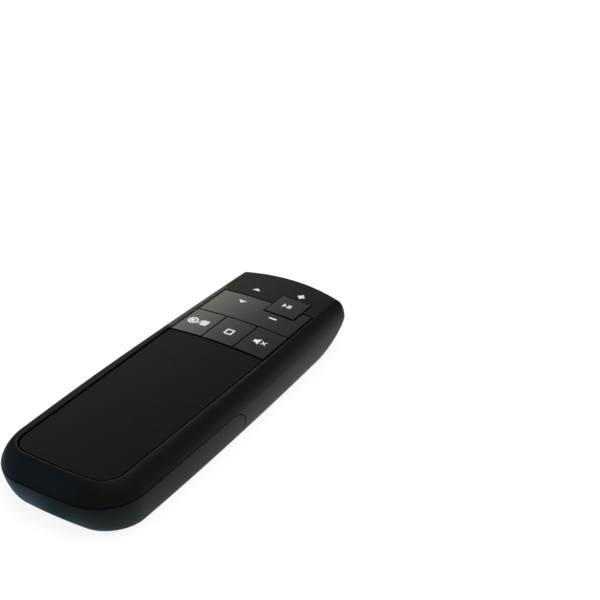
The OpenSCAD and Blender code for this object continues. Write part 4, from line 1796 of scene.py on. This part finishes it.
@dataclass(frozen=True)
class Symbols:
    """The white printed symbols, each a thin film of ink on its cap or on the hood.

    Each place is the middle of a symbol; the play symbol is set off from its key's middle.
    """

    ink: float = 0.035
    sink: float = 0.02
    stroke: float = 0.78
    corner: float = 0.3
    least_round: int = 8
    page_up_at: Point = (-6.95, 48.35)
    plus_at: Point = (7.03, 51.65)
    page_down_at: Point = (-6.93, 39.95)
    minus_at: Point = (6.73, 36.4)
    play_shift: Point = (-0.6, 0.35)
    stop_at: Point = (0.1, 23.25)
    stop_half: float = 1.38
    stop_stroke: float = 0.52
    mute_at: Point = (10.8, 23.55)
    pointer_at: Point = (-13.25, 23.55)
    pointer_radius: float = 1.7
    pointer_stroke: float = 0.55

    def film(self, name: str, outlines: Sequence[Sequence[Point]], at: Point) -> Piece:
        """Prints closed shapes as one flat film at height 0.

        Args:
            name: Name of the symbol.
            outlines: Its shapes, in millimetres about its own middle.
            at: Where its middle lies.

        Returns:
            The film, still flat.
        """
        shapes = [[(at[0] + x, at[1] + y) for x, y in outline] for outline in outlines]
        return Bench.join([Bench.prism(name, shape, -self.sink, self.ink) for shape in shapes])

    def ring(
        self,
        name: str,
        corners: int,
        radius: float,
        stroke: float,
        at: Point,
        turn: float = 0.0,
    ) -> Piece:
        """Prints an outlined shape: a many-cornered face, inset and opened.

        Args:
            name: Name of the symbol.
            corners: Number of corners, many for a circle.
            radius: Distance of the corners from the middle.
            stroke: Width of the printed line.
            at: Where its middle lies.
            turn: Turn of the first corner in degrees.

        Returns:
            The film, still flat.
        """
        Bench.clear()
        bpy.ops.mesh.primitive_circle_add(
            vertices=corners,
            radius=radius * MM,
            fill_type="NGON",
            location=(at[0] * MM, at[1] * MM, -self.sink * MM),
            rotation=(0, 0, math.radians(turn)),
        )
        ring = Bench.added(name)
        with Bench.edit(ring):
            if corners < self.least_round:
                bpy.ops.mesh.bevel(offset=self.corner * MM, segments=EDGE_STEPS, affect="VERTICES")
                bpy.ops.mesh.select_all(action="SELECT")
            bpy.ops.mesh.inset(thickness=stroke * MM)
            bpy.ops.mesh.delete(type="FACE")
            bpy.ops.mesh.select_all(action="SELECT")
            bpy.ops.mesh.extrude_region_move(
                TRANSFORM_OT_translate={"value": (0, 0, (self.sink + self.ink) * MM)}
            )
        Bench.orient(ring)
        return ring

    def lay(self, film: Piece, crest: float, body: Body) -> None:
        """Lays a flat film on the crown and places it.

        Args:
            film: The flat film.
            crest: Height of the printed face on the middle line.
            body: The body that it is printed on.
        """
        for vertex in film.data.vertices:
            vertex.co.z += (crest - FORM.fall(vertex.co.x / MM)) * MM
        Bench.place(film, body, WHITE_INK.material())

    @staticmethod
    def arrow(half: float, height: float) -> list[Point]:
        """A filled triangle that points forward, or backward with a negative height."""
        return [(-half, -height / 2), (half, -height / 2), (0, height / 2)]

    @staticmethod
    def bar(x: float, y: float, width: float, height: float, turn: float = 0.0) -> list[Point]:
        """Draws a filled bar.

        Args:
            x: Where its middle lies.
            y: Station of its middle.
            width: Its size along X before it is turned.
            height: Its size along Y before it is turned.
            turn: How far it is turned, in degrees.

        Returns:
            Its four corners.
        """
        along, up = math.cos(math.radians(turn)), math.sin(math.radians(turn))
        return [
            (x + a * along - b * up, y + a * up + b * along)
            for a, b in (
                (-width / 2, -height / 2),
                (width / 2, -height / 2),
                (width / 2, height / 2),
                (-width / 2, height / 2),
            )
        ]

    def plus(self, size: float) -> list[Point]:
        """Draws a filled plus sign about the origin.

        Args:
            size: Length of its bars.

        Returns:
            Its twelve corners.
        """
        far, near = size / 2, self.stroke / 2
        quarter = [(far, -near), (far, near), (near, near)]
        return [
            (x * math.cos(turn) - y * math.sin(turn), x * math.sin(turn) + y * math.cos(turn))
            for turn in (0, math.pi / 2, math.pi, 3 * math.pi / 2)
            for x, y in quarter
        ]

    def build(self) -> None:
        """Prints all symbols."""
        keys = Keys()
        play = [
            [(-1.4, -1.0), (-0.2, 0), (-1.4, 1.0)],
            self.bar(0.45, 0, 0.5, 1.7),
            self.bar(1.15, 0, 0.5, 1.7),
        ]
        play_at = (FIELD.play_x + self.play_shift[0], FIELD.play_y + self.play_shift[1])
        play_top = keys.crest + keys.play_proud
        back, minus = [self.arrow(1.35, -1.35)], [self.bar(0, 0, 2.6, 0.68)]
        for name, shapes, at, crest, body in (
            ("print_page_up", [self.arrow(1.4, 1.3)], self.page_up_at, FORM.height, Body.HOUSING),
            ("print_plus", [self.plus(2.25)], self.plus_at, FORM.height, Body.HOUSING),
            ("print_page_down", back, self.page_down_at, keys.crest, Body.WIDE_KEY),
            ("print_minus", minus, self.minus_at, keys.crest, Body.WIDE_KEY),
            ("print_play_pause", play, play_at, play_top, Body.PLAY),
        ):
            self.lay(self.film(name, shapes, at), crest, body)
        reach = self.stop_half * math.sqrt(2)
        square = self.ring("print_stop_frame", 4, reach, self.stop_stroke, self.stop_at, turn=45)
        self.lay(square, keys.crest, Body.CENTRE)
        speaker = [
            (-2.1, -0.65),
            (-1.35, -0.65),
            (-0.15, -1.45),
            (-0.15, 1.45),
            (-1.35, 0.65),
            (-2.1, 0.65),
        ]
        cross = [self.bar(1.35, 0, 2.2, 0.34, turn) for turn in (45, -45)]
        self.lay(self.film("print_mute", [speaker, *cross], self.mute_at), keys.crest, Body.RIGHT)
        pointer = self.ring(
            "print_pointer_or_slide",
            28,
            self.pointer_radius,
            self.pointer_stroke,
            self.pointer_at,
        )
        parts = self.film(
            "print_parts",
            [
                self.bar(-11.0, 23.5, 2.4, 0.32, 66),
                self.bar(-13.4, 23.5, 1.45, 1.45),
                self.bar(-9.15, 24.55, 2.3, 0.8),
                self.bar(-9.15, 23.6, 2.5, 0.85),
                self.bar(-9.15, 22.65, 2.3, 0.8),
            ],
            (0, 0),
        )
        self.lay(Bench.join([pointer, parts]), keys.crest, Body.LEFT)


@dataclass(frozen=True)
class PowerSlider:
    """The power slider on the left side, with its grip grooves, flange and fork."""

    station: float = 29.9
    z: float = 10.8
    length: float = 5.0
    height: float = 2.6
    travel: float = 3.0
    gap: float = 0.2
    flange: float = 0.6
    fork: float = 1.2
    edge: float = 0.3
    slot_end_x: float = -12.0
    groove_radius: float = 0.22
    groove_pitch: float = 0.8
    grooves_each_way: int = 2
    groove_half: float = 4.0

    def slot(self) -> Piece:
        """Makes the tool for the slot in the housing's side.

        Returns:
            The tool.
        """
        low_y = self.station - self.length / 2 - self.gap
        half_z = self.height / 2 + self.gap
        return Bench.block(
            "slot",
            (-FORM.tail_width, low_y, self.z - half_z),
            (self.slot_end_x, low_y + self.length + self.travel + 2 * self.gap, self.z + half_z),
        )

    def build(self) -> None:
        """Makes the slider."""
        low, high = (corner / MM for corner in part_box("power_slider"))
        side = FORM.side_at(self.station + self.travel + self.length)
        flange_x = -(side - Shells.housing_wall - self.gap - self.flange)
        flange_end = flange_x + self.flange
        half, y, z = self.height / 2, self.station, self.z
        knob = Bench.block(
            "power_slider_knob",
            (low.x, y - self.length / 2, z - half),
            (flange_end, y + self.length / 2, z + half),
            self.edge,
        )
        deep = self.groove_half
        for i in range(-self.grooves_each_way, self.grooves_each_way + 1):
            at = y + i * self.groove_pitch
            groove = Bench.rod(
                "groove", (low.x, at, z - deep), (low.x, at, z + deep), self.groove_radius, sides=20
            )
            Bench.carve(knob, groove)
        arm = self.fork / 2
        for part in (
            Bench.block("flange", (flange_x, low.y, low.z), (flange_end, high.y, high.z)),
            Bench.block("fork", (flange_x, y - arm, z - arm), (high.x, y + arm, z + arm)),
        ):
            Bench.carve(knob, part, Cut.JOIN)
        Bench.flatten(knob)
        Bench.place(knob, Body.SLIDER, SATIN_SLIDER.material(), "slider_plastic", ["power_slider"])


@dataclass(frozen=True)
class LaserUnit:
    """The laser behind its window in the nose."""

    bore_start_y: float = -20.0
    barrel_play: float = 0.15
    room: float = 0.05
    lap: float = 1.0

    def bores(self) -> list[Piece]:
        """Makes the tools for the barrel's bore and for the aperture in the nose.

        Returns:
            The two tools.
        """
        low, high = (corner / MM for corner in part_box("laser_barrel"))
        _, window_high = (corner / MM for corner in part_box("laser_window"))
        axis = (low + high) / 2
        return [
            Bench.rod(
                "barrel_bore",
                (axis.x, self.bore_start_y, axis.z),
                (axis.x, high.y + self.barrel_play, axis.z),
                (high.x - low.x) / 2 + self.room,
            ),
            Bench.rod(
                "aperture",
                (axis.x, high.y - self.lap, axis.z),
                (axis.x, FORM.nose_y + PAST, axis.z),
                window_high.z - axis.z + self.room,
                sides=64,
            ),
        ]

    def build(self) -> None:
        """Finishes the laser's CAD nodes."""
        dress(
            {
                "laser_barrel": BRASS,
                "laser_lens": LENS,
                "laser_window": RED_WINDOW,
                "laser_driver": BOARD,
            }
        )


class Electronics:
    """Boards, switches, chips and flex under the keys."""

    def build(self) -> None:
        """Finishes the CAD nodes of the electronics."""
        dress(
            {
                "main_board": BOARD,
                "touch_sensor": BOARD,
                "sensor_ribbon": POLYIMIDE,
                "tact_switches": NICKEL,
                "radio_chip": CHIP_EPOXY,
                "power_switch": NICKEL,
                "key_carrier": INNER_SHELL,
                "bottom_housing": INNER_SHELL,
                "housing_screws": NICKEL,
                # The board's screws are dark as painted shade under the key gaps.
                "board_screws": SCREW_GAP_SHADE,
            }
        )


@dataclass(frozen=True)
class PowerPack:
    """The two cells between their springs and contacts."""

    radius: float = 5.25
    length: float = 44.5
    edge: float = 0.45
    edge_steps: int = 5
    base_rim: float = 0.8
    dish: float = 0.15
    top_rim: float = 0.9
    slope: float = 0.2
    cap_len: float = 0.8
    cap_radius: float = 1.9
    cap_edge: float = 0.25
    cap_foot: float = 0.5
    foot_drop: float = 0.05
    spin_steps: int = 64
    sleeve: str = "#23405c"
    band: str = "#b9bdc0"
    band_len: float = 9.0
    band_edge: float = 0.2
    bare_rim: float = 0.7
    bare_foot: float = 0.6
    facing_end: float = 0.2
    wire: float = 0.5
    wire_sides: int = 10
    coil_base: float = 3.2
    coil_tip: float = 1.8
    turns: int = 3
    turn_steps: int = 32
    spring_height: float = 2.6

    def profile(self) -> list[Point]:
        """Draws the half profile of a cell.

        Returns:
            Points (distance from the axis, height over the base), from the axis to the axis.
        """
        body, radius, edge = self.length - self.cap_len, self.radius, self.edge
        base, top = radius - self.base_rim, radius - self.top_rim
        groove = body - self.slope
        return [
            (0, self.dish),
            (base - self.slope, self.dish),
            (base, 0),
            *arc((radius - edge, edge), edge, -90, 90, self.edge_steps),
            *arc((radius - edge, body - edge), edge, 0, 90, self.edge_steps),
            (top, body),
            (top - self.slope, groove),
            (self.cap_radius + self.cap_foot, groove),
            (self.cap_radius, body - self.foot_drop),
            (self.cap_radius, self.length - self.cap_edge),
            (self.cap_radius - self.cap_edge, self.length),
            (0, self.length),
        ]

    def cell(self, node: str, facing: int) -> None:
        """Turns one cell from its half profile.

        Args:
            node: The CAD node of the cell.
            facing: 1 if its cap points to the nose, -1 if to the tail.
        """
        low, high = (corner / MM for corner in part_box(node))
        middle = (low + high) / 2
        profile = self.profile()
        Bench.clear()
        bpy.ops.mesh.primitive_plane_add(size=MM)
        cell = Bench.added(f"{node}_cell")
        with Bench.edit(cell, "VERT"):
            bpy.ops.mesh.merge(type="CENTER")
            for _ in profile[1:]:
                bpy.ops.mesh.extrude_region_move()
        for vertex, (r, along) in zip(cell.data.vertices, profile, strict=True):
            vertex.co = Vector((r, 0, along - self.length / 2)) * MM
        with Bench.edit(cell, "VERT"):
            bpy.ops.mesh.spin(
                steps=self.spin_steps, angle=2 * math.pi, center=(0, 0, 0), axis=(0, 0, 1)
            )
        Bench.orient(cell)
        turn = Matrix.Rotation(math.radians(-90 * facing), 4, "X")
        cell.data.transform(Matrix.Translation(middle * MM) @ turn)
        Bench.smooth(cell, angle=30)
        cap_end = middle.y + facing * self.length / 2
        sleeve = CellSleeve(
            f"printed_cell_sleeve_{node.split('_')[1]}",
            self.sleeve,
            self.band,
            cap_end - facing * (self.band_len + self.band_edge),
            cap_end - facing * self.band_len,
        )
        Bench.place(cell, Body.HOUSING, sleeve.material(), "cell_sleeve", [node])
        cell.data.materials.append(NICKEL.material())
        for face in cell.data.polygons:
            spot = face.center / MM - middle
            out = math.hypot(spot.x, spot.z)
            bare = out < self.radius - self.bare_rim and abs(face.normal.y) > self.facing_end
            nub = out < self.cap_radius + self.bare_foot
            face.material_index = 1 if bare or nub else 0

    def spring(self, x: float, start_y: float, z: float, facing: int) -> Piece:
        """Winds one conical spring that stands on its contact.

        Args:
            x: Where its axis lies.
            start_y: Station of its base.
            z: Height of its axis.
            facing: 1 if it opens to the nose, -1 if to the tail.

        Returns:
            The spring.
        """
        Bench.clear()
        bpy.ops.mesh.primitive_circle_add(
            vertices=self.wire_sides,
            radius=self.wire / 2 * MM,
            rotation=(math.radians(90), 0, 0),
        )
        coil = Bench.added("spring")
        for vertex in coil.data.vertices:
            vertex.co.x += self.coil_base * MM
        rise = self.spring_height - self.wire
        Bench.apply(
            coil,
            "SCREW",
            angle=2 * math.pi * self.turns,
            screw_offset=rise * MM,
            iterations=1,
            steps=self.turn_steps * self.turns,
            render_steps=self.turn_steps * self.turns,
            use_merge_vertices=False,
        )
        for vertex in coil.data.vertices:
            share = min(max(vertex.co.z / MM / rise, 0), 1)
            radius = math.hypot(vertex.co.x, vertex.co.y) / MM
            wanted = radius + (self.coil_tip - self.coil_base) * share
            vertex.co.x *= wanted / radius
            vertex.co.y *= wanted / radius
            vertex.co.z += self.wire / 2 * MM
        with Bench.edit(coil, "VERT"):
            bpy.ops.mesh.fill_holes(sides=0)
        Bench.orient(coil, merge=0.0001)
        turn = Matrix.Rotation(math.radians(-90 * facing), 4, "X")
        coil.data.transform(Matrix.Translation(Vector((x, start_y, z)) * MM) @ turn)
        return coil

    def build(self) -> None:
        """Makes the cells and springs and finishes the contacts."""
        self.cell("battery_left", 1)
        self.cell("battery_right", -1)
        low, high = (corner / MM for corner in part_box("battery_springs"))
        left = sum(corner.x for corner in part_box("battery_left")) / 2 / MM
        right = sum(corner.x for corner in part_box("battery_right")) / 2 / MM
        z = (low.z + high.z) / 2
        springs = Bench.join([self.spring(left, low.y, z, 1), self.spring(right, high.y, z, -1)])
        springs.name = "cell_springs"
        Bench.smooth(springs, angle=60)
        Bench.place(springs, Body.HOUSING, NICKEL.material(), "plated_steel", ["battery_springs"])
        dress({"battery_contacts": NICKEL})


@dataclass(frozen=True)
class Receiver:
    """The radio receiver that parks beside the cells: a ribbed grip and a metal plug."""

    edge: float = 0.6
    rib_start: float = 2.2
    rib_pitch: float = 1.5
    rib_count: int = 4
    rib_depth: float = 0.25
    wall: float = 0.3
    back_wall: float = 1.0
    plug_edge: float = 0.25
    hollow_edge: float = 0.1
    hole: float = 2.2
    hole_x: float = 2.5
    hole_y: float = 7.2
    tongue_side: float = 0.45
    tongue_back: float = 0.9
    tongue_front: float = 0.3
    tongue_top: float = 0.4
    tongue_edge: float = 0.15
    shade_angle: float = 35.0

    def build(self) -> None:
        """Makes the grip and the plug."""
        low, high = (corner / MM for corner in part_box("usb_receiver"))
        grip = Bench.block("receiver_grip", tuple(low), tuple(high), self.edge)
        start, end = low.x - PAST, high.x + PAST
        for i in range(self.rib_count):
            y = low.y + self.rib_start + i * self.rib_pitch
            for z in (low.z, high.z):
                groove = Bench.rod("groove", (start, y, z), (end, y, z), self.rib_depth, sides=20)
                Bench.carve(grip, groove)
        Bench.smooth(grip, self.shade_angle)
        Bench.place(grip, Body.HOUSING, INNER_SHELL.material(), "inner_plastic", ["usb_receiver"])

        low, high = (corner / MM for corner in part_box("receiver_plug"))
        plug = Bench.block("receiver_usb_plug", tuple(low), tuple(high), self.plug_edge)
        hollow = Bench.block(
            "hollow",
            (low.x + self.wall, low.y + self.back_wall, low.z + self.wall),
            (high.x - self.wall, high.y + PAST, high.z - self.wall),
            self.hollow_edge,
        )
        Bench.carve(plug, hollow)
        middle = (low + high) / 2
        half, y = self.hole / 2, low.y + self.hole_y
        for side in (-1, 1):
            x = middle.x + side * self.hole_x
            for z in (low.z, high.z):
                hole = Bench.block(
                    "hole", (x - half, y - half, z - PAST), (x + half, y + half, z + PAST)
                )
                Bench.carve(plug, hole)
        Bench.smooth(plug, self.shade_angle)
        Bench.place(plug, Body.HOUSING, NICKEL.material(), "plated_steel", ["receiver_plug"])
        tongue = Bench.block(
            "receiver_plug_tongue",
            (low.x + self.tongue_side, low.y + self.tongue_back, middle.z),
            (high.x - self.tongue_side, high.y - self.tongue_front, high.z - self.tongue_top),
            self.tongue_edge,
        )
        Bench.smooth(tongue, self.shade_angle)
        Bench.place(tongue, Body.HOUSING, WHITE_INK.material())


# ---- Studio ----


@dataclass(frozen=True)
class Lamp:
    """One soft square lamp, given by the direction that it stands in."""

    name: str
    direction: Place
    distance: float
    size: float
    watts: float
    colour: str = "#ffffff"
    height: float = 0.0
    roll: float = 0.0

    def build(self) -> None:
        """Hangs the lamp and aims it at the middle of the floor."""
        data = bpy.data.lights.new(self.name, "AREA")
        data.shape = "RECTANGLE"
        data.size = self.size
        data.size_y = self.height or self.size
        data.energy = self.watts
        data.color = linear(self.colour)[:3]
        lamp = bpy.data.objects.new(self.name, data)
        bpy.context.scene.collection.objects.link(lamp)
        toward = Vector(self.direction).normalized()
        lamp.location = toward * self.distance
        lamp.rotation_mode = "QUATERNION"
        turn = Quaternion((0, 0, 1), math.radians(self.roll))
        lamp.rotation_quaternion = toward.to_track_quat("Z", "Y") @ turn


def add_light(tree: Tree, colour: Place, share: Any, before: Any) -> Any:
    """Adds a share of a colour to the light so far.

    Args:
        tree: The node tree.
        colour: The colour at its full strength.
        share: Output with the share of it.
        before: Output with the light so far, or None.

    Returns:
        The output with the summed light.
    """
    lit = add(
        tree, "ShaderNodeVectorMath", {0: colour, "Scale": share}, operation="SCALE"
    ).outputs[0]
    if before is None:
        return lit
    return add(tree, "ShaderNodeVectorMath", {0: before, 1: lit}, operation="ADD").outputs[0]


@dataclass(frozen=True)
class Glow:
    """A soft-edged patch of the floor that the object's glossy faces mirror."""

    low: Point
    high: Point
    fade: float
    colour: Place

    def add_to(self, tree: Tree, spot: Any, before: Any) -> Any:
        """Adds this patch's light to what the patches before it give.

        Args:
            tree: The floor's node tree.
            spot: Output with the place on the floor.
            before: Output with the light so far, or None.

        Returns:
            The output with the summed light.
        """
        share = near_box(tree, spot, (*self.low, -1), (*self.high, 1), self.fade)
        return add_light(tree, self.colour, share, before)


@dataclass(frozen=True)
class SkyPart:
    """A part of the room whose light changes softly towards one way."""

    way: Place
    start: float
    end: float
    colour: Place
    low: float = 0.0
    high: float = 1.0

    def add_to(self, tree: Tree, look: Any, before: Any) -> Any:
        """Adds this part's light to what the parts before it give.

        Args:
            tree: The world's node tree.
            look: Output with the direction that is looked in.
            before: Output with the light so far, or None.

        Returns:
            The output with the summed light.
        """
        facing = add(
            tree, "ShaderNodeVectorMath", {0: look, 1: self.way}, operation="DOT_PRODUCT"
        ).outputs["Value"]
        share = add(
            tree,
            "ShaderNodeMapRange",
            {0: facing, 1: self.start, 2: self.end, 3: self.low, 4: self.high},
            interpolation_type="SMOOTHSTEP",
        ).outputs[0]
        return add_light(tree, self.colour, share, before)


@dataclass(frozen=True)
class Studio:
    """Camera, floor, world and lamps. Distances are in metres."""

    azimuth: float = 33.14
    elevation: float = 30.27
    roll: float = -0.57
    distance: float = 0.45414
    aim_right: float = 0.034945
    aim_up: float = 0.020341
    pivot: Place = (0.0, -0.002587, 0.016)
    focal_px: float = 1604.25
    image_px: float = 600.0
    sensor: float = 36.0
    clip: Point = (0.01, 50.0)
    floor_size: float = 12.0
    floor_drop: float = 0.00002
    floor_glow: float = 0.85
    paper: str = "#8c8c8c"
    paper_roughness: float = 0.6
    diffuse_level: float = 0.55
    glows: Sequence[Glow] = (
        Glow((0.023, -0.07), (0.1, 0.16), 0.025, (0.84, 0.94, 1.0)),
        Glow((0.02, 0.005), (0.1, 0.16), 0.03, (0.14, 0.15, 0.16)),
        Glow((-0.01, 0.078), (0.1, 0.16), 0.025, (0.6, 0.65, 0.7)),
        Glow((-0.12, 0.075), (-0.035, 0.16), 0.03, (0.36, 0.36, 0.36)),
        Glow((-0.09, -0.12), (0.02, -0.06), 0.02, (0.16, 0.4, 0.48)),
        Glow((-0.09, -0.075), (-0.012, -0.045), 0.012, (0.45, 0.6, 0.72)),
    )
    room: Sequence[SkyPart] = (
        SkyPart((0.0, 0.0, 1.0), 0.0, 0.5, (0.7, 1.0, 1.15), low=0.24, high=0.06),
        SkyPart((-0.72, -0.62, 0.3), 0.7, 0.95, (0.3, 1.1, 1.8)),
        SkyPart((1.0, 0.0, 0.0), 0.1, 0.5, (0.55, 0.55, 0.5)),
    )
    lamps: Sequence[Lamp] = (
        Lamp("top_lamp", (0.1, 0.15, 1.0), 0.9, 0.7, 3.1),
        Lamp("left_window", (-0.65, 0.69, 0.37), 0.6, 0.6, 0.68, "#ffffef", height=0.185, roll=19),
    )

    def camera(self) -> None:
        """Sets the camera up at its measured place and angle."""
        a, e, r = (math.radians(v) for v in (self.azimuth, self.elevation, self.roll))
        back = Vector((math.sin(a) * math.cos(e), -math.cos(a) * math.cos(e), math.sin(e)))
        level = Vector((math.cos(a), math.sin(a), 0))
        upright = back.cross(level)
        right = level * math.cos(r) + upright * math.sin(r)
        up = upright * math.cos(r) - level * math.sin(r)
        data = bpy.data.cameras.new("camera")
        data.sensor_width = self.sensor
        data.lens = self.focal_px / self.image_px * self.sensor
        data.clip_start, data.clip_end = self.clip
        camera = bpy.data.objects.new("camera", data)
        bpy.context.scene.collection.objects.link(camera)
        place = Vector(self.pivot) + right * self.aim_right + up * self.aim_up
        place += back * self.distance
        turn = Matrix((right, up, back)).transposed().to_4x4()
        camera.matrix_world = Matrix.Translation(place) @ turn
        bpy.context.scene.camera = camera

    @staticmethod
    def by_ray(tree: Tree, soft: float, mirrored: Any, seen: float) -> Any:
        """Adds a light that differs with the kind of ray that asks for it.

        Args:
            tree: The node tree.
            soft: Level for rays that a matte face scatters.
            mirrored: Output with the colour for rays that a glossy or clear face sends on.
            seen: Level for rays straight from the camera.

        Returns:
            The output with the colour.
        """
        path = add(tree, "ShaderNodeLightPath").outputs
        sent_on = add(
            tree,
            "ShaderNodeMath",
            {0: path["Is Glossy Ray"], 1: path["Is Transmission Ray"]},
            operation="ADD",
            use_clamp=True,
        ).outputs[0]
        colour = add(
            tree,
            "ShaderNodeMix",
            {0: sent_on, 6: (soft, soft, soft, 1), 7: mirrored},
            data_type="RGBA",
        ).outputs[2]
        return add(
            tree,
            "ShaderNodeMix",
            {0: path["Is Camera Ray"], 6: colour, 7: (seen, seen, seen, 1)},
            data_type="RGBA",
        ).outputs[2]

    def floor(self) -> None:
        """Lays the pale floor, which reads white and keeps a soft shadow."""
        Bench.clear()
        bpy.ops.mesh.primitive_plane_add(size=self.floor_size, location=(0, 0, -self.floor_drop))
        floor = bpy.context.object
        floor.name = "floor"
        material = bpy.data.materials.new("white_studio_sweep")
        material.use_nodes = True
        tree = material.node_tree
        tree.nodes.clear()
        spot = add(tree, "ShaderNodeTexCoord").outputs["Object"]
        mirrored = None
        for glow in self.glows:
            mirrored = glow.add_to(tree, spot, mirrored)
        colour = self.by_ray(tree, 0.0, mirrored, self.floor_glow)
        paper = add(
            tree,
            "ShaderNodeBsdfDiffuse",
            {"Color": linear(self.paper), "Roughness": self.paper_roughness},
        )
        shine = add(tree, "ShaderNodeEmission", {"Color": colour, "Strength": 1.0})
        both = add(tree, "ShaderNodeAddShader", {0: paper.outputs[0], 1: shine.outputs[0]})
        add(tree, "ShaderNodeOutputMaterial", {"Surface": both.outputs[0]})
        floor.data.materials.append(material)

    def world(self) -> None:
        """Makes the room: even soft light, seen as white, and mirrored as its parts."""
        world = bpy.data.worlds.new("soft_room")
        world.use_nodes = True
        tree = world.node_tree
        tree.nodes.clear()
        look = add(tree, "ShaderNodeTexCoord").outputs["Generated"]
        mirrored = None
        for part in self.room:
            mirrored = part.add_to(tree, look, mirrored)
        colour = self.by_ray(tree, self.diffuse_level, mirrored, 1.0)
        light = add(tree, "ShaderNodeBackground", {"Color": colour, "Strength": 1.0})
        add(tree, "ShaderNodeOutputWorld", {"Surface": light.outputs[0]})
        bpy.context.scene.world = world

    def build(self) -> None:
        """Sets up the whole studio."""
        bpy.context.scene.view_settings.view_transform = "Standard"
        self.camera()
        self.floor()
        self.world()
        for lamp in self.lamps:
            lamp.build()


def clear_start_up_objects() -> None:
    """Removes whatever the file held before the frame was loaded."""
    kept = {*frame["nodes"].values(), *frame["bodies"].values()}
    for obj in list(bpy.data.objects):
        if obj not in kept:
            bpy.data.objects.remove(obj)


def main() -> None:
    """Builds the studio and every sub-assembly."""
    clear_start_up_objects()
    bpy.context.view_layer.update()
    for assembly in (
        Shells(),
        TouchPanel(),
        Keys(),
        Symbols(),
        PowerSlider(),
        LaserUnit(),
        Electronics(),
        PowerPack(),
        Receiver(),
        Studio(),
    ):
        assembly.build()
    Bench.clear()


if __name__ == "__main__":
    logging.basicConfig(level=logging.INFO, format="%(name)s: %(message)s")
    main()
